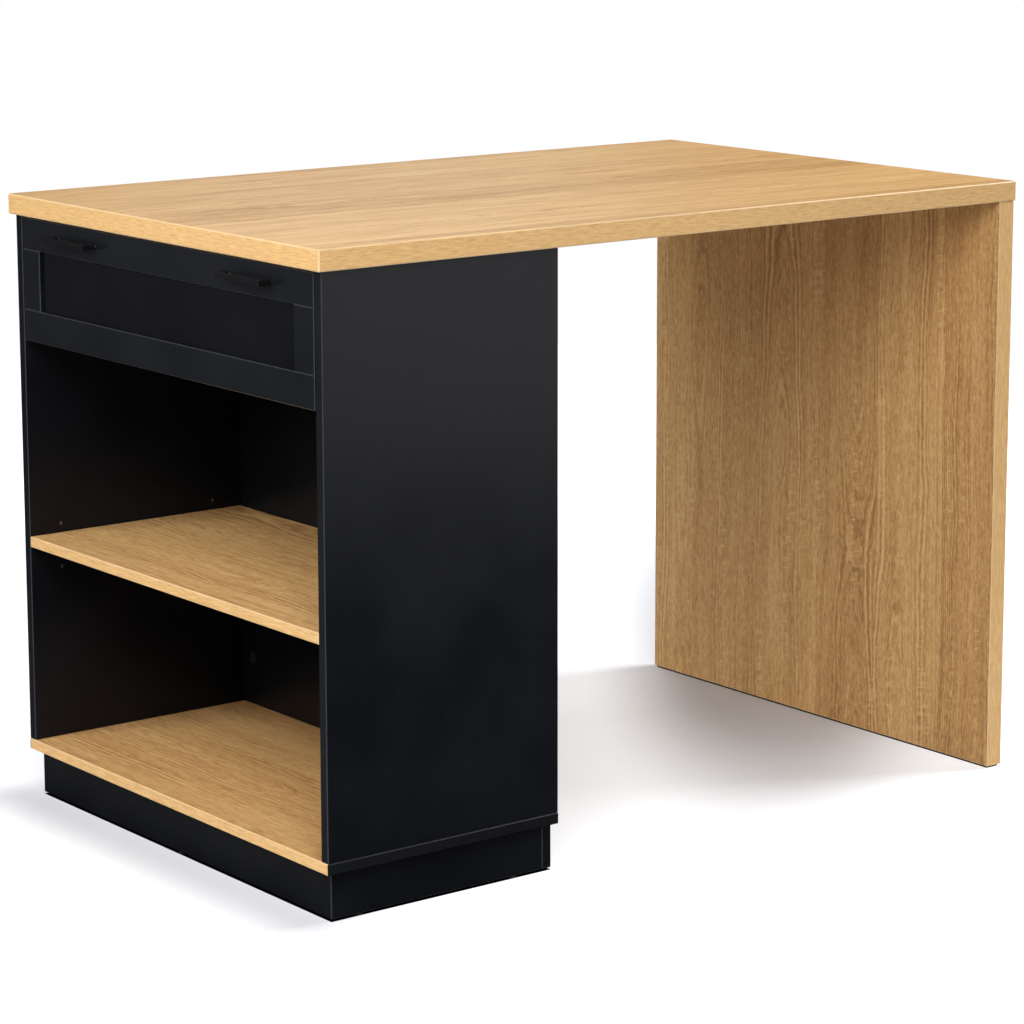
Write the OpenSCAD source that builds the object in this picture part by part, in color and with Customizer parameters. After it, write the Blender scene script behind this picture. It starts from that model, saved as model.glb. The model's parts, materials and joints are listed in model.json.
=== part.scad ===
// Kitchen island: a worktop carried by a drawer cabinet at one end and by a leg panel at the other.
// Length runs along X with the drawer opening towards -X, width runs along Y. The origin lies on
// the floor under the middle of the whole island. Left and right are seen from the drawer end,
// so the right-hand side of the cabinet is the -Y side.

/* [Worktop] */
// Length of the worktop
top_len = 1200; // [1000:10:1600]
// Width of the worktop
top_wid = 760; // [660:10:900]
// Height of the worktop's upper face above the floor
total_h = 860; // [800:5:950]
// Thickness of the worktop
top_t = 28; // [22:1:38]
// Chamfer along the edges of the worktop
top_arris = 1.6; // [0.4:0.2:2.4]
// Overhang of the worktop past the drawer end of the cabinet
over_front = 8; // [0:1:18]
// Overhang of the worktop past each side of the cabinet
over_side = 7; // [0:1:30]

/* [Leg panel] */
// Thickness of the leg panel
leg_t = 28; // [22:1:38]
// Distance from the end and the sides of the worktop in to the leg panel
leg_inset = 2; // [0:1:20]
// Thickness of the floor strip under the leg panel, and of the glides under the plinth
foot_t = 3; // [2:0.5:6]
// Width of the floor strip
strip_wid = 22; // [14:1:22]
// Distance from each end of the leg panel in to the floor strip
strip_inset = 4; // [1:1:30]
// Distance between the outer and the middle fixing of the leg panel
leg_fix_pitch = 280; // [150:5:310]

/* [Cabinet] */
// Depth of the cabinet, measured along the worktop
cab_depth = 368; // [360:1:460]
// Thickness of the cabinet's boards
board_t = 15; // [15:1:19]
// Chamfer along the edges of the cabinet's boards
arris = 1; // [0.3:0.1:1.4]
// Ledge of the bottom panel past each side panel
deck_ledge = 1; // [0:0.5:5]
// Height from the floor to the underside of the bottom panel
plinth_h = 66; // [55:1:120]
// Distance from the drawer end of the cabinet in to the plinth
plinth_inset_front = 13; // [5:1:50]
// Distance from each side of the cabinet in to the plinth
plinth_inset_side = 13; // [5:1:50]
// Distance from the rear of the cabinet in to the plinth
plinth_inset_rear = 2; // [0:1:50]
// Height from the floor to the underside of the middle shelf
shelf_z = 362; // [250:1:420]
// Gap between the middle shelf and each side panel
shelf_play = 0.5; // [0.3:0.1:1.5]

/* [Drawer front] */
// Height of the drawer front
front_h = 172; // [165:1:200]
// Gap between the drawer front and each side panel
front_gap = 2; // [1:0.5:4]
// Gap between the drawer front and the worktop
front_gap_top = 3; // [1.5:0.5:6]
// Thickness of the rails and stiles
front_t = 15; // [15:1:19]
// Width of the rails and stiles
frame_w = 44; // [38:1:50]
// Depth of the field panel behind the face of the rails
field_recess = 5; // [3:0.5:5]
// Thickness of the field panel
field_t = 6; // [4:0.5:6]
// Depth of the grooves that hold the field panel
field_groove = 8; // [5:0.5:10]

/* [Drawer box] */
// Length of the drawer box, equal to the length of its runners
box_len = 300; // [250:10:310]
// Height of the drawer sides
box_h = 120; // [80:5:135]
// Thickness of the drawer sides and back
box_t = 12; // [12:0.5:15]
// Thickness of the drawer bottom
bottom_t = 3; // [3:0.5:5]
// Height from the lower edge of the drawer sides to the drawer bottom
bottom_lift = 8; // [6:0.5:12]
// Depth of the grooves that hold the drawer bottom
bottom_groove = 6; // [4:0.5:6]

/* [Handles] */
// Distance between the two fixing holes of a handle
handle_pitch = 96; // [64:16:160]
// Height of a handle's bar and legs
handle_h = 8; // [7:0.5:14]
// Thickness of a handle's bar
handle_bar = 7; // [6:0.5:10]
// Width of a handle's legs
handle_leg = 8; // [7:0.5:14]
// Distance from the drawer front to the outer face of a handle
handle_proj = 20; // [19:1:35]
// Distance from each end of the drawer front to the middle of its handle
handle_inset = 143; // [126:1:236]

/* [Runners] */
// Gap between a side panel and a drawer side
runner_gap = 12.5; // [12.5:0.1:13.5]
// Thickness of the runner steel
steel_t = 1.2; // [0.8:0.1:1.2]
// Distance the drawer pulls out
travel = 225; // [150:5:225]
// Radius of the rollers
roller_r = 8; // [7:0.5:8]
// Width of the rollers
roller_w = 6; // [5:0.5:6]
// Distance from the end of a runner to the axle of its roller
roller_end = 12; // [10:0.5:16]
// Height from the lower edge of the drawer front to the running track
track_lift = 9; // [6:0.5:14]

/* [Hidden] */

$fn = 48;

// Directions
X = [1, 0, 0];
Y = [0, 1, 0];
Z = [0, 0, 1];

// Clearances
fit = 0.05;         // radial, round pins and screws in their holes
slot_fit = 0.1;     // each side of a board in its groove
stop_gap = 0.3;     // rollers from their stops at the ends of the travel
roll_gap = 0.1;     // rollers from the surface that they run on
slide_gap = 0.2;    // rollers from what is beside them
sunk = 0.2;         // countersunk heads below the surface around them
tip_gap = 0.5;      // blind holes past the tips of what they hold
past = 1;           // how far a cut runs past a surface

// Main planes
handle_out = max(0, handle_proj - over_front);
x_top0 = (handle_out - top_len) / 2;
x_top1 = x_top0 + top_len;
x_leg1 = x_top1 - leg_inset;
x_leg0 = x_leg1 - leg_t;
x_cab0 = x_top0 + over_front;
x_cab1 = x_cab0 + cab_depth;
x_back = x_cab1 - board_t;
y_top = top_wid / 2;
y_leg = y_top - leg_inset;
y_out = y_top - over_side;
y_in = y_out - board_t;
z_top = total_h - top_t;
z_deck = plinth_h + board_t;

// Plinth frame
x_pl0 = x_cab0 + plinth_inset_front;
x_pl1 = x_cab1 - plinth_inset_rear;
y_pl = y_out - plinth_inset_side;
bracket_len = 34;
bracket_wid = 18;
bracket_t = 2;
bracket_hole = 9;       // holes in the walls from the ends of the bracket
bracket_plate_hole = 12; // hole in the plate from both walls' outer faces
bracket_tip = 4;        // width of the plate at the ends of the walls
glide_front = 45;       // outer glides from the front and the rear of the plinth
glide_rear = 60;
glide_r = 7;
glide_arris = 1;
nail_r = 1.1;
nail_len = 14;
nail_tip = 2;

// Cam joints: a bolt in one board is drawn in by a cam disc in the face of the other
cam_back = 24;          // middle of the disc from the joint
cam_r = 7.5;
cam_depth = 12;
cam_over = 5;           // depth of the leg panel's discs past its middle
cam_floor = 2;          // wood left behind the discs of the drawer sides
leg_cam_depth = leg_t / 2 + cam_over;
box_cam_depth = box_t - cam_floor;
cam_side_gap = 0.1;     // disc from the wall and from the floor of its pocket
cam_end_gap = 0.3;
cam_grip = 4.5;         // hole for the bolt past the middle of the disc
cam_socket_r = 2.3;
cam_socket = 2;
bolt_r = 3;
bolt_in = 11;           // thread in the other board
bolt_hole_r = 3.6;
bolt_head = 3.5;
bolt_neck = 2.5;
bolt_neck_r = 1.9;
bolt_shank_r = 2.6;
bolt_collar = 1.4;
bolt_collar_r = 3.4;
bolt_edge = 0.6;
bolt_seat = 0.1;        // collar below the joint
cap_r = 8.5;
cap_t = 1.2;
cap_edge = 0.6;
dowel_r = 4;
dowel_in = 11;          // in the board beyond the joint
dowel_len = 30;
dowel_edge = 1;

// Fixings of the cabinet, measured from the ends of its boards; a dowel stands next to each cam bolt
fix_front = 48;
fix_rear = 70;
fix_back = 70;
dowel_step = 42;
base_screw_front = 40;
base_screw_rear = 56;
base_screw_back = 208;
side_cam_x = [fix_front, cab_depth - fix_rear];
side_dowel_x = [fix_front + dowel_step, cab_depth - fix_rear - dowel_step];
base_screw_x = [base_screw_front, cab_depth / 2, cab_depth - base_screw_rear];
back_cam_z = [z_deck + fix_back, z_top - fix_back];
back_dowel_z = [z_deck + fix_back + dowel_step, z_top - fix_back - dowel_step];
back_screw_y = [base_screw_back - y_in, y_in - base_screw_back];
leg_cam_y = [-leg_fix_pitch, 0, leg_fix_pitch];
leg_dowel_y = [-leg_fix_pitch / 2, leg_fix_pitch / 2];

// Shelf supports and their rows of holes
support_inset = 50;
support_x = [support_inset, cab_depth - board_t - support_inset];
support_r = 2.5;
support_in = 9;
support_out = 9;
support_wid = 10;
support_t = 1.6;
support_drop = 7;
support_step = 32;
shelf_back = 2;         // middle shelf from the back panel

// Drawer front
y_front = y_in - front_gap;
z_fr1 = z_top - front_gap_top;
z_fr0 = z_fr1 - front_h;
z_rail0 = z_fr0 + frame_w;
z_rail1 = z_fr1 - frame_w;
y_stile = y_front - frame_w;
x_field = x_cab0 + field_recess;
x_box0 = x_cab0 + front_t;
x_box1 = x_box0 + box_len;
y_handle = y_front - handle_inset;
z_handle = (z_rail1 + z_fr1) / 2;

// Runners, seen from the drawer end: distances across are measured from the side panel
run_setback = 2;        // cabinet runner behind the rear face of the drawer front
flange_gap = 2.5;       // channel's flanges from the drawer side
lip_h = 1.5;            // lip along the running track
over_roller = 0.6;      // upper flange of the channel above the rear roller
flange_step = 0.8;      // top of the front roller above the channel
flange_edge = 1;        // edges of the angle from the channel's web and from the drawer side's inner face
side_lift = 1;          // steel under the drawer side above the running track
mouth = 4;              // opening of the channel behind the front roller
stop_h = 7;             // height of the tabs that stop the drawer
slot_len = 8;           // spare screw slots in the channel
slot_r = 2.2;
slot_step = 24;         // spare slots from the screws beside them
roller_s0 = 2.6;
roller_s1 = roller_s0 + roller_w;
flange_reach = runner_gap - flange_gap;
web_s0 = runner_gap - steel_t;
channel_h = 2 * roller_r + roll_gap + over_roller;
z_track = z_fr0 + track_lift;
cab_run_x0 = x_box0 + run_setback;
cab_run_x1 = cab_run_x0 + box_len;
front_roller_x = cab_run_x0 + roller_end;
front_roller_z = z_track + channel_h + steel_t + flange_step - roller_r;
rear_roller_x = x_box1 - roller_end;
rear_roller_z = z_track + roller_r + roll_gap;
z_flange = front_roller_z + roller_r + roll_gap;
z_box = z_track + side_lift + steel_t;
axle_r = 2;
axle_head_r = 3.2;
axle_head_t = 0.8;
axle_head_in = 0.1;     // head below the face of the roller
axle_edge = 0.3;
axle_collar_r = 3.4;
axle_rivet_r = 2.7;
axle_rivet_t = 0.6;
rivet_gap = 0.3;        // wall of the pocket in the board around the rivet
rivet_pocket = 1;
roller_pocket_r = 4.2;
roller_pocket = 1.2;
roller_edge = 0.5;
roller_rim = 1.5;       // thickness of the rim around the dished face
roller_dish = 0.9;
roller_slope = 0.5;
run_screw_front = 37;
run_screw_rear = 39;
box_run_screw_end = 30;
run_screw_mid = (run_screw_front + box_len - run_screw_rear) / 2;
cab_run_screw_x = [run_screw_front, run_screw_mid, box_len - run_screw_rear];
cab_run_slot_x = [run_screw_front + slot_step, run_screw_mid - slot_step, run_screw_mid + slot_step,
                  box_len - run_screw_rear - slot_step];
box_run_screw_x = [box_run_screw_end, box_len / 2, box_len - box_run_screw_end];
run_screw_s = runner_gap + (box_t - bottom_groove - slot_fit) / 2;

// Drawer box
y_box = y_in - runner_gap;
y_box_in = y_box - box_t;
z_box1 = z_box + box_h;
z_bottom = z_box + bottom_lift;
box_arris = 0.6;
box_cam_inset = 20;
back_screw_low = 30;
back_screw_high = 25;
box_cam_z = [z_rail0 + box_cam_inset, z_rail1 - box_cam_inset];
box_back_screw_z = [z_box + back_screw_low, z_box1 - back_screw_high];
bottom_screw_end = 90;  // outer screws of the drawer bottom from the drawer sides

// Handles
handle_arris = 0.5;
handle_screw_in = 9;    // screw in the handle's leg

// Fasteners, each as a list in this order
RADIUS = 0;
LENGTH = 1;
HEAD_R = 2;
HEAD_H = 3;
base_screw = [3, 46, 5, 3];
box_screw = [2.5, 36, 4.4, 2.2];
bottom_screw = [1.5, 14, 2.8, 1.3];
strip_screw = [1.75, 16, 3.2, 1.6];
bracket_screw = [1.75, 12, 3.2, 1.6];
run_screw = [1.75, 11, 3.3, 1];
handle_screw = [2, front_t + handle_screw_in, 4, 2.4];

// ---- Helpers -------------------------------------------------------------------------------

// Turns +Z onto one of the six axis directions
module pointing(d) {
    turn = d.x != 0 ? [0, 90 * d.x, 0] : d.y != 0 ? [-90 * d.y, 0, 0] : [d.z < 0 ? 180 : 0, 0, 0];
    rotate(turn) children();
}

// Puts the children at every [point, direction] of a list
module at_each(places) {
    for (p = places) translate(p[0]) pointing(p[1]) children();
}

// The right-hand pieces and their mirror images on the left
module both_sides() {
    children();
    mirror(Y) children();
}

// Rectangle from the origin with its corners cut off
module cut_corner_rect(w, h, c) {
    polygon([[c, 0], [w - c, 0], [w, c], [w, h - c], [w - c, h], [c, h], [0, h - c], [0, c]]);
}

// Board between two opposite corners, with a small chamfer along all of its edges
module board(lo, hi, c = arris) {
    d = hi - lo;
    translate(lo) intersection() {
        linear_extrude(d.z) cut_corner_rect(d.x, d.y, c);
        translate([0, d.y, 0]) rotate([90, 0, 0]) linear_extrude(d.y) cut_corner_rect(d.x, d.z, c);
        rotate([90, 0, 90]) linear_extrude(d.x) cut_corner_rect(d.y, d.z, c);
    }
}

// Plain block between two opposite corners
module block(lo, hi) {
    translate(lo) cube(hi - lo);
}

// Outline in Y and Z, drawn out along X
module along_x(x0, x1) {
    translate([x0, 0, 0]) rotate([90, 0, 90]) linear_extrude(x1 - x0) children();
}

// Countersunk screw with its head just below the origin and its point towards +Z
module flat_screw(s) {
    r = s[RADIUS];
    translate([0, 0, sunk]) rotate_extrude()
        polygon([[0, 0], [s[HEAD_R], 0], [r, s[HEAD_H]], [r, s[LENGTH] - r], [0, s[LENGTH]]]);
}

// Hole for a countersunk screw
module flat_screw_hole(s) {
    r = s[RADIUS] + fit;
    r_head = s[HEAD_R] + fit;
    translate([0, 0, -past]) cylinder(r = r_head, h = past + sunk);
    translate([0, 0, sunk]) cylinder(r1 = r_head, r2 = r, h = s[HEAD_H] + fit);
    cylinder(r = r, h = s[LENGTH] + sunk + tip_gap);
}

// Screw with a raised head that stands on the surface at the origin
module pan_screw(s) {
    r = s[RADIUS];
    r_head = s[HEAD_R];
    h = s[HEAD_H];
    e = h / 3;
    rotate_extrude() polygon([[0, -h], [r_head - e, -h], [r_head, e - h], [r_head, 0], [r, 0],
                              [r, s[LENGTH] - r], [0, s[LENGTH]]]);
}

// Hole for the shank of a raised-head screw
module shank_hole(s) {
    translate([0, 0, -past]) cylinder(r = s[RADIUS] + fit, h = s[LENGTH] + past + tip_gap);
}

// Cam bolt: threaded part towards +Z, waisted head towards -Z
module cam_bolt() {
    e = bolt_edge;
    z_head = bolt_head - cam_back;
    z_neck = z_head + e + bolt_neck;
    r_thread = bolt_r - fit;
    rotate_extrude() polygon([
        [0, -cam_back], [bolt_r - e, -cam_back], [bolt_r, e - cam_back], [bolt_r, z_head],
        [bolt_neck_r, z_head + e], [bolt_neck_r, z_neck], [bolt_shank_r, z_neck + e],
        [bolt_shank_r, -bolt_collar], [bolt_collar_r, -bolt_collar], [bolt_collar_r, -bolt_seat],
        [r_thread, -bolt_seat], [r_thread, bolt_in - bolt_r], [e, bolt_in], [0, bolt_in]]);
}

// Holes for a cam bolt in both boards of a joint
module cam_bolt_holes() {
    translate([0, 0, -past]) cylinder(r = bolt_r, h = bolt_in + past + tip_gap);
    translate([0, 0, -cam_back]) cylinder(r = bolt_hole_r, h = cam_back);
}

// Cam disc: its open face lies at the origin and faces -Z, its bolt comes in from +X
module cam_disc(depth, mid) {
    difference() {
        cylinder(r = cam_r - cam_side_gap, h = depth - cam_end_gap);
        translate([-cam_grip, 0, mid]) pointing(X) cylinder(r = bolt_hole_r, h = cam_grip + cam_r + past);
        translate([0, 0, -past]) cylinder(r = cam_socket_r, h = cam_socket + past, $fn = 6);
    }
}

// Pocket for a cam disc whose open face lies at the origin and faces -Z
module cam_pocket(depth) {
    translate([0, 0, -past]) cylinder(r = cam_r, h = depth + past);
}

// Round cap that covers a cam disc, standing on the face at the origin
module cam_cap() {
    e = cap_edge;
    rotate_extrude() polygon([[0, -cap_t], [cap_r - e, -cap_t], [cap_r, e - cap_t], [cap_r, 0], [0, 0]]);
}

// Dowel with broken ends, set across the joint at the origin
module dowel() {
    r = dowel_r - fit;
    e = dowel_edge;
    z0 = dowel_in - dowel_len;
    z1 = dowel_in - tip_gap;
    rotate_extrude() polygon([[0, z0], [r - e, z0], [r, z0 + e], [r, z1 - e], [r - e, z1], [0, z1]]);
}

// Hole for a dowel in both boards of a joint
module dowel_hole() {
    translate([0, 0, dowel_in - dowel_len - tip_gap]) cylinder(r = dowel_r, h = dowel_len + tip_gap);
}

// ---- Where the fixings go: right-hand side only, the left is its mirror image ----------------

y_mid = -(y_out - board_t / 2);
side_cams = [for (x = side_cam_x) [[x_cab0 + x, y_mid, z_top], Z]];
side_dowels = [for (x = side_dowel_x) [[x_cab0 + x, y_mid, z_top], Z]];
base_dowels = [for (x = side_dowel_x) [[x_cab0 + x, y_mid, z_deck], -Z]];
base_screws_side = [for (x = base_screw_x) [[x_cab0 + x, y_mid, plinth_h], Z]];
back_cams = [for (z = back_cam_z) [[x_cab1 - board_t / 2, -y_in, z], -Y]];
back_dowels = [for (z = back_dowel_z) [[x_cab1 - board_t / 2, -y_in, z], -Y]];
base_screws_back = [for (y = back_screw_y) [[x_cab1 - board_t / 2, y, plinth_h], Z]];
leg_cams = [for (y = leg_cam_y) [[(x_leg0 + x_leg1) / 2, y, z_top], Z]];
leg_dowels = [for (y = leg_dowel_y) [[(x_leg0 + x_leg1) / 2, y, z_top], Z]];
side_discs = [for (x = side_cam_x) [x_cab0 + x, -y_in, z_top - cam_back]];
back_discs = [for (z = back_cam_z) [x_back, cam_back - y_in, z]];
leg_discs = [for (y = leg_cam_y) [x_leg1, y, z_top - cam_back]];
strip_screws = [for (i = [-1.5 : 1.5]) [[(x_leg0 + x_leg1) / 2, i * (y_leg - strip_inset) / 2, 0], Z]];
supports = [for (x = support_x) [x_cab0 + x, -y_in, shelf_z - support_drop / 2]];
glides = [
    for (x = [x_pl0 + glide_front, x_pl1 - glide_rear], y = [-1, 1]) [x, y * (y_pl - board_t / 2)],
    [x_pl0 + board_t / 2, 0],
    [x_pl1 - board_t / 2, 0]
];
x_bracket0 = x_pl0 + board_t;
x_bracket1 = x_pl1 - board_t;
y_bracket = board_t - y_pl;
z_bracket = plinth_h - (bracket_wid + bracket_t) / 2;
bracket_far = bracket_len - bracket_hole;
side_bracket_screws = [for (x = [x_bracket0 + bracket_far, x_bracket1 - bracket_far])
    [[x, y_bracket + bracket_t, z_bracket], -Y]];
front_bracket_screws = [[[x_bracket0 + bracket_t, y_bracket + bracket_far, z_bracket], -X]];
rear_bracket_screws = [[[x_bracket1 - bracket_t, y_bracket + bracket_far, z_bracket], X]];
deck_bracket_x = [x_bracket0 + bracket_plate_hole, x_bracket1 - bracket_plate_hole];
deck_bracket_screws = [for (x = deck_bracket_x, i = [-1, 1])
    [[x, i * (y_bracket + bracket_plate_hole), plinth_h - bracket_t], Z]];
run_screws = [for (x = cab_run_screw_x) [[cab_run_x0 + x, -y_in + steel_t, z_track + channel_h / 2], -Y]];
box_run_screws = [for (x = box_run_screw_x) [[x_box0 + x, -y_in + run_screw_s, z_box - steel_t], Z]];
run_slots = [for (x = cab_run_slot_x) [cab_run_x0 + x, -y_in, z_track + channel_h / 2]];
box_cams = [for (z = box_cam_z) [[x_box0, -(y_box - box_t / 2), z], -X]];
box_discs = [for (z = box_cam_z) [x_box0 + cam_back, -y_box_in, z]];
box_screws = [for (z = box_back_screw_z) [[x_box1 - box_t / 2, -y_box, z], Y]];
bottom_screws = [for (i = [-1 : 1]) [[x_box1 - box_t / 2, i * (y_box_in - bottom_screw_end), z_bottom], Z]];
handle_screws_at = [for (y = [-1, 1]) [[x_box0, -y_handle + y * handle_pitch / 2, z_handle], -X]];
front_axle = [front_roller_x, -y_in, front_roller_z];
rear_axle = [rear_roller_x, -y_in, rear_roller_z];

// ---- Worktop and leg panel -------------------------------------------------------------------

module worktop() {
    color("burlywood") difference() {
        board([x_top0, -y_top, z_top], [x_top1, y_top, total_h], top_arris);
        both_sides() {
            at_each(side_cams) cam_bolt_holes();
            at_each(side_dowels) dowel_hole();
        }
        at_each(leg_cams) cam_bolt_holes();
        at_each(leg_dowels) dowel_hole();
    }
}

module leg_panel() {
    color("burlywood") difference() {
        board([x_leg0, -y_leg, foot_t], [x_leg1, y_leg, z_top], arris);
        at_each(leg_cams) cam_bolt_holes();
        at_each(leg_dowels) dowel_hole();
        for (p = leg_discs) translate(p) pointing(-X) cam_pocket(leg_cam_depth);
        at_each(strip_screws) flat_screw_hole(strip_screw);
    }
}

// Black strip that keeps the end grain of the leg panel off the floor
module leg_floor_strip() {
    x_mid = (x_leg0 + x_leg1) / 2;
    y_end = y_leg - strip_inset;
    color("black") difference() {
        block([x_mid - strip_wid / 2, -y_end, 0], [x_mid + strip_wid / 2, y_end, foot_t]);
        at_each(strip_screws) flat_screw_hole(strip_screw);
    }
}

module floor_strip_screws() {
    color("silver") at_each(strip_screws) flat_screw(strip_screw);
}

// ---- Cabinet boards --------------------------------------------------------------------------

module side_panel() {
    color("#22242a") difference() {
        board([x_cab0, -y_out, z_deck], [x_cab1, -y_in, z_top]);
        at_each(side_cams) cam_bolt_holes();
        at_each(side_dowels) dowel_hole();
        at_each(base_dowels) dowel_hole();
        at_each(base_screws_side) flat_screw_hole(base_screw);
        at_each(back_cams) cam_bolt_holes();
        at_each(back_dowels) dowel_hole();
        at_each(run_screws) shank_hole(run_screw);
        for (p = side_discs) translate(p) pointing(-Y) cam_pocket(cam_depth);
        for (p = supports, step = [-1 : 1])
            translate(p + [0, past, step * support_step]) pointing(-Y)
                cylinder(r = support_r + fit, h = support_in + past + tip_gap);
        translate(front_axle) pointing(-Y) rivet_hole();
    }
}

module bottom_panel() {
    color("tan") difference() {
        board([x_cab0, -y_out - deck_ledge, plinth_h], [x_cab1, y_out + deck_ledge, z_deck]);
        both_sides() {
            at_each(base_screws_side) flat_screw_hole(base_screw);
            at_each(base_dowels) dowel_hole();
        }
        at_each(base_screws_back) flat_screw_hole(base_screw);
        at_each(deck_bracket_screws) shank_hole(bracket_screw);
    }
}

module back_panel() {
    color("#22242a") difference() {
        board([x_back, -y_in, z_deck], [x_cab1, y_in, z_top]);
        both_sides() {
            at_each(back_cams) cam_bolt_holes();
            at_each(back_dowels) dowel_hole();
            for (p = back_discs) translate(p) pointing(X) cam_pocket(cam_depth);
        }
        at_each(base_screws_back) flat_screw_hole(base_screw);
    }
}

module middle_shelf() {
    y_shelf = y_in - shelf_play;
    color("tan") board([x_cab0, -y_shelf, shelf_z], [x_back - shelf_back, y_shelf, shelf_z + board_t]);
}

// Spoon-shaped shelf support: a shank in the side panel, a flat rest and a rib under it
module shelf_support() {
    z_rest = support_drop / 2;
    pointing(-Y) cylinder(r = support_r, h = support_in);
    along_x(-support_wid / 2, support_wid / 2)
        polygon([[0, -z_rest], [support_t, -z_rest], [support_t, z_rest - support_t],
                 [support_out, z_rest - support_t], [support_out, z_rest], [0, z_rest]]);
    along_x(-support_t / 2, support_t / 2)
        polygon([[support_t / 2, -z_rest], [support_t, -z_rest], [support_out, z_rest - support_t],
                 [support_t / 2, z_rest - support_t / 2]]);
}

module shelf_supports() {
    color("silver") both_sides() for (p = supports) translate(p) shelf_support();
}

// ---- Plinth ----------------------------------------------------------------------------------

module plinth_side() {
    color("#18191d") difference() {
        board([x_pl0, -y_pl, foot_t], [x_pl1 - board_t, board_t - y_pl, plinth_h]);
        glide_holes();
        at_each(side_bracket_screws) shank_hole(bracket_screw);
    }
}

module plinth_front() {
    color("#18191d") difference() {
        board([x_pl0, board_t - y_pl, foot_t], [x_pl0 + board_t, y_pl - board_t, plinth_h]);
        glide_holes();
        both_sides() at_each(front_bracket_screws) shank_hole(bracket_screw);
    }
}

module plinth_rear() {
    color("#18191d") difference() {
        board([x_pl1 - board_t, -y_pl, foot_t], [x_pl1, y_pl, plinth_h]);
        glide_holes();
        both_sides() at_each(rear_bracket_screws) shank_hole(bracket_screw);
    }
}

module glide_holes() {
    for (g = glides)
        translate([g.x, g.y, foot_t - past]) cylinder(r = nail_r + fit, h = nail_len + past + tip_gap);
}

// Plastic glides, each with a nail into the lower edge of its board
module plinth_glides() {
    e = glide_arris;
    tip = foot_t + nail_len;
    color("black") for (g = glides) translate([g.x, g.y, 0])
        rotate_extrude() polygon([[0, 0], [glide_r - e, 0], [glide_r, e], [glide_r, foot_t], [nail_r, foot_t],
                                  [nail_r, tip - nail_tip], [0, tip]]);
}

// Steel corner bracket: two walls against the plinth boards and a plate under the bottom panel
module corner_bracket() {
    t = bracket_t;
    z_hole = -(bracket_wid + t) / 2;
    difference() {
        union() {
            block([0, 0, -bracket_wid], [bracket_len, t, 0]);
            block([0, 0, -bracket_wid], [t, bracket_len, 0]);
            translate([0, 0, -t]) linear_extrude(t)
                polygon([[0, 0], [bracket_len, 0], [bracket_len, bracket_tip], [bracket_tip, bracket_len],
                         [0, bracket_len]]);
        }
        translate([bracket_len - bracket_hole, t, z_hole]) pointing(-Y) shank_hole(bracket_screw);
        translate([t, bracket_len - bracket_hole, z_hole]) pointing(-X) shank_hole(bracket_screw);
        translate([bracket_plate_hole, bracket_plate_hole, -t]) shank_hole(bracket_screw);
    }
}

module corner_brackets() {
    color("silver") both_sides() {
        translate([x_bracket0, y_bracket, plinth_h]) corner_bracket();
        translate([x_bracket1, y_bracket, plinth_h]) mirror(X) corner_bracket();
    }
}

module bracket_screws() {
    color("silver") {
        both_sides() {
            at_each(side_bracket_screws) pan_screw(bracket_screw);
            at_each(front_bracket_screws) pan_screw(bracket_screw);
            at_each(rear_bracket_screws) pan_screw(bracket_screw);
        }
        at_each(deck_bracket_screws) pan_screw(bracket_screw);
    }
}

// ---- Fixings of the cabinet and the leg panel ------------------------------------------------

module cam_bolts() {
    color("silver") {
        both_sides() {
            at_each(side_cams) cam_bolt();
            at_each(back_cams) cam_bolt();
        }
        at_each(leg_cams) cam_bolt();
    }
}

module cam_discs() {
    color("silver") {
        both_sides() {
            for (p = side_discs) translate(p)
                rotate([90, 0, 0]) rotate([0, 0, 90]) cam_disc(cam_depth, board_t / 2);
            for (p = back_discs) translate(p)
                rotate([0, 90, 0]) rotate([0, 0, -90]) cam_disc(cam_depth, board_t / 2);
        }
        for (p = leg_discs) translate(p)
            rotate([0, -90, 0]) cam_disc(leg_cam_depth, leg_t / 2);
    }
}

module cam_caps_black() {
    color("black") both_sides() {
        for (p = side_discs) translate(p) pointing(-Y) cam_cap();
        for (p = back_discs) translate(p) pointing(X) cam_cap();
    }
}

module cam_caps_oak() {
    color("burlywood") for (p = leg_discs) translate(p) pointing(-X) cam_cap();
}

module wooden_dowels() {
    color("wheat") {
        both_sides() {
            at_each(side_dowels) dowel();
            at_each(base_dowels) dowel();
            at_each(back_dowels) dowel();
        }
        at_each(leg_dowels) dowel();
    }
}

module base_screws() {
    color("silver") {
        both_sides() at_each(base_screws_side) flat_screw(base_screw);
        at_each(base_screws_back) flat_screw(base_screw);
    }
}

// ---- Runners ---------------------------------------------------------------------------------

// Steel channel on the side panel: the drawer's rear roller runs inside it, and the front roller
// stands in a gap in its upper flange. Two bent tabs stop the rear roller at the ends of its travel.
module cabinet_runner() {
    t = steel_t;
    w = flange_reach;
    top = channel_h;
    stop_open = rear_roller_x - travel - roller_r - stop_gap;
    stop_shut = rear_roller_x + roller_r + stop_gap;
    color("silver") translate([0, -y_in, z_track]) difference() {
        union() {
            along_x(cab_run_x0, cab_run_x1)
                polygon([[0, -t], [w, -t], [w, lip_h], [w - t, lip_h], [w - t, 0], [t, 0], [t, top],
                         [w, top], [w, top + t], [0, top + t]]);
            for (x = [stop_open - t, stop_shut])
                block([x, t / 2, top - stop_h], [x + t, w / 2, top + t / 2]);
        }
        block([cab_run_x0 - past, t, lip_h + past],
              [front_roller_x + roller_r + mouth, w + past, top + t + past]);
        translate([front_roller_x, -past, front_roller_z - z_track]) pointing(Y)
            cylinder(r = axle_r + fit, h = t + 2 * past);
        translate([0, y_in, -z_track]) {
            at_each(run_screws) shank_hole(run_screw);
            for (p = run_slots) translate(p) spare_slot();
        }
    }
}

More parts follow.
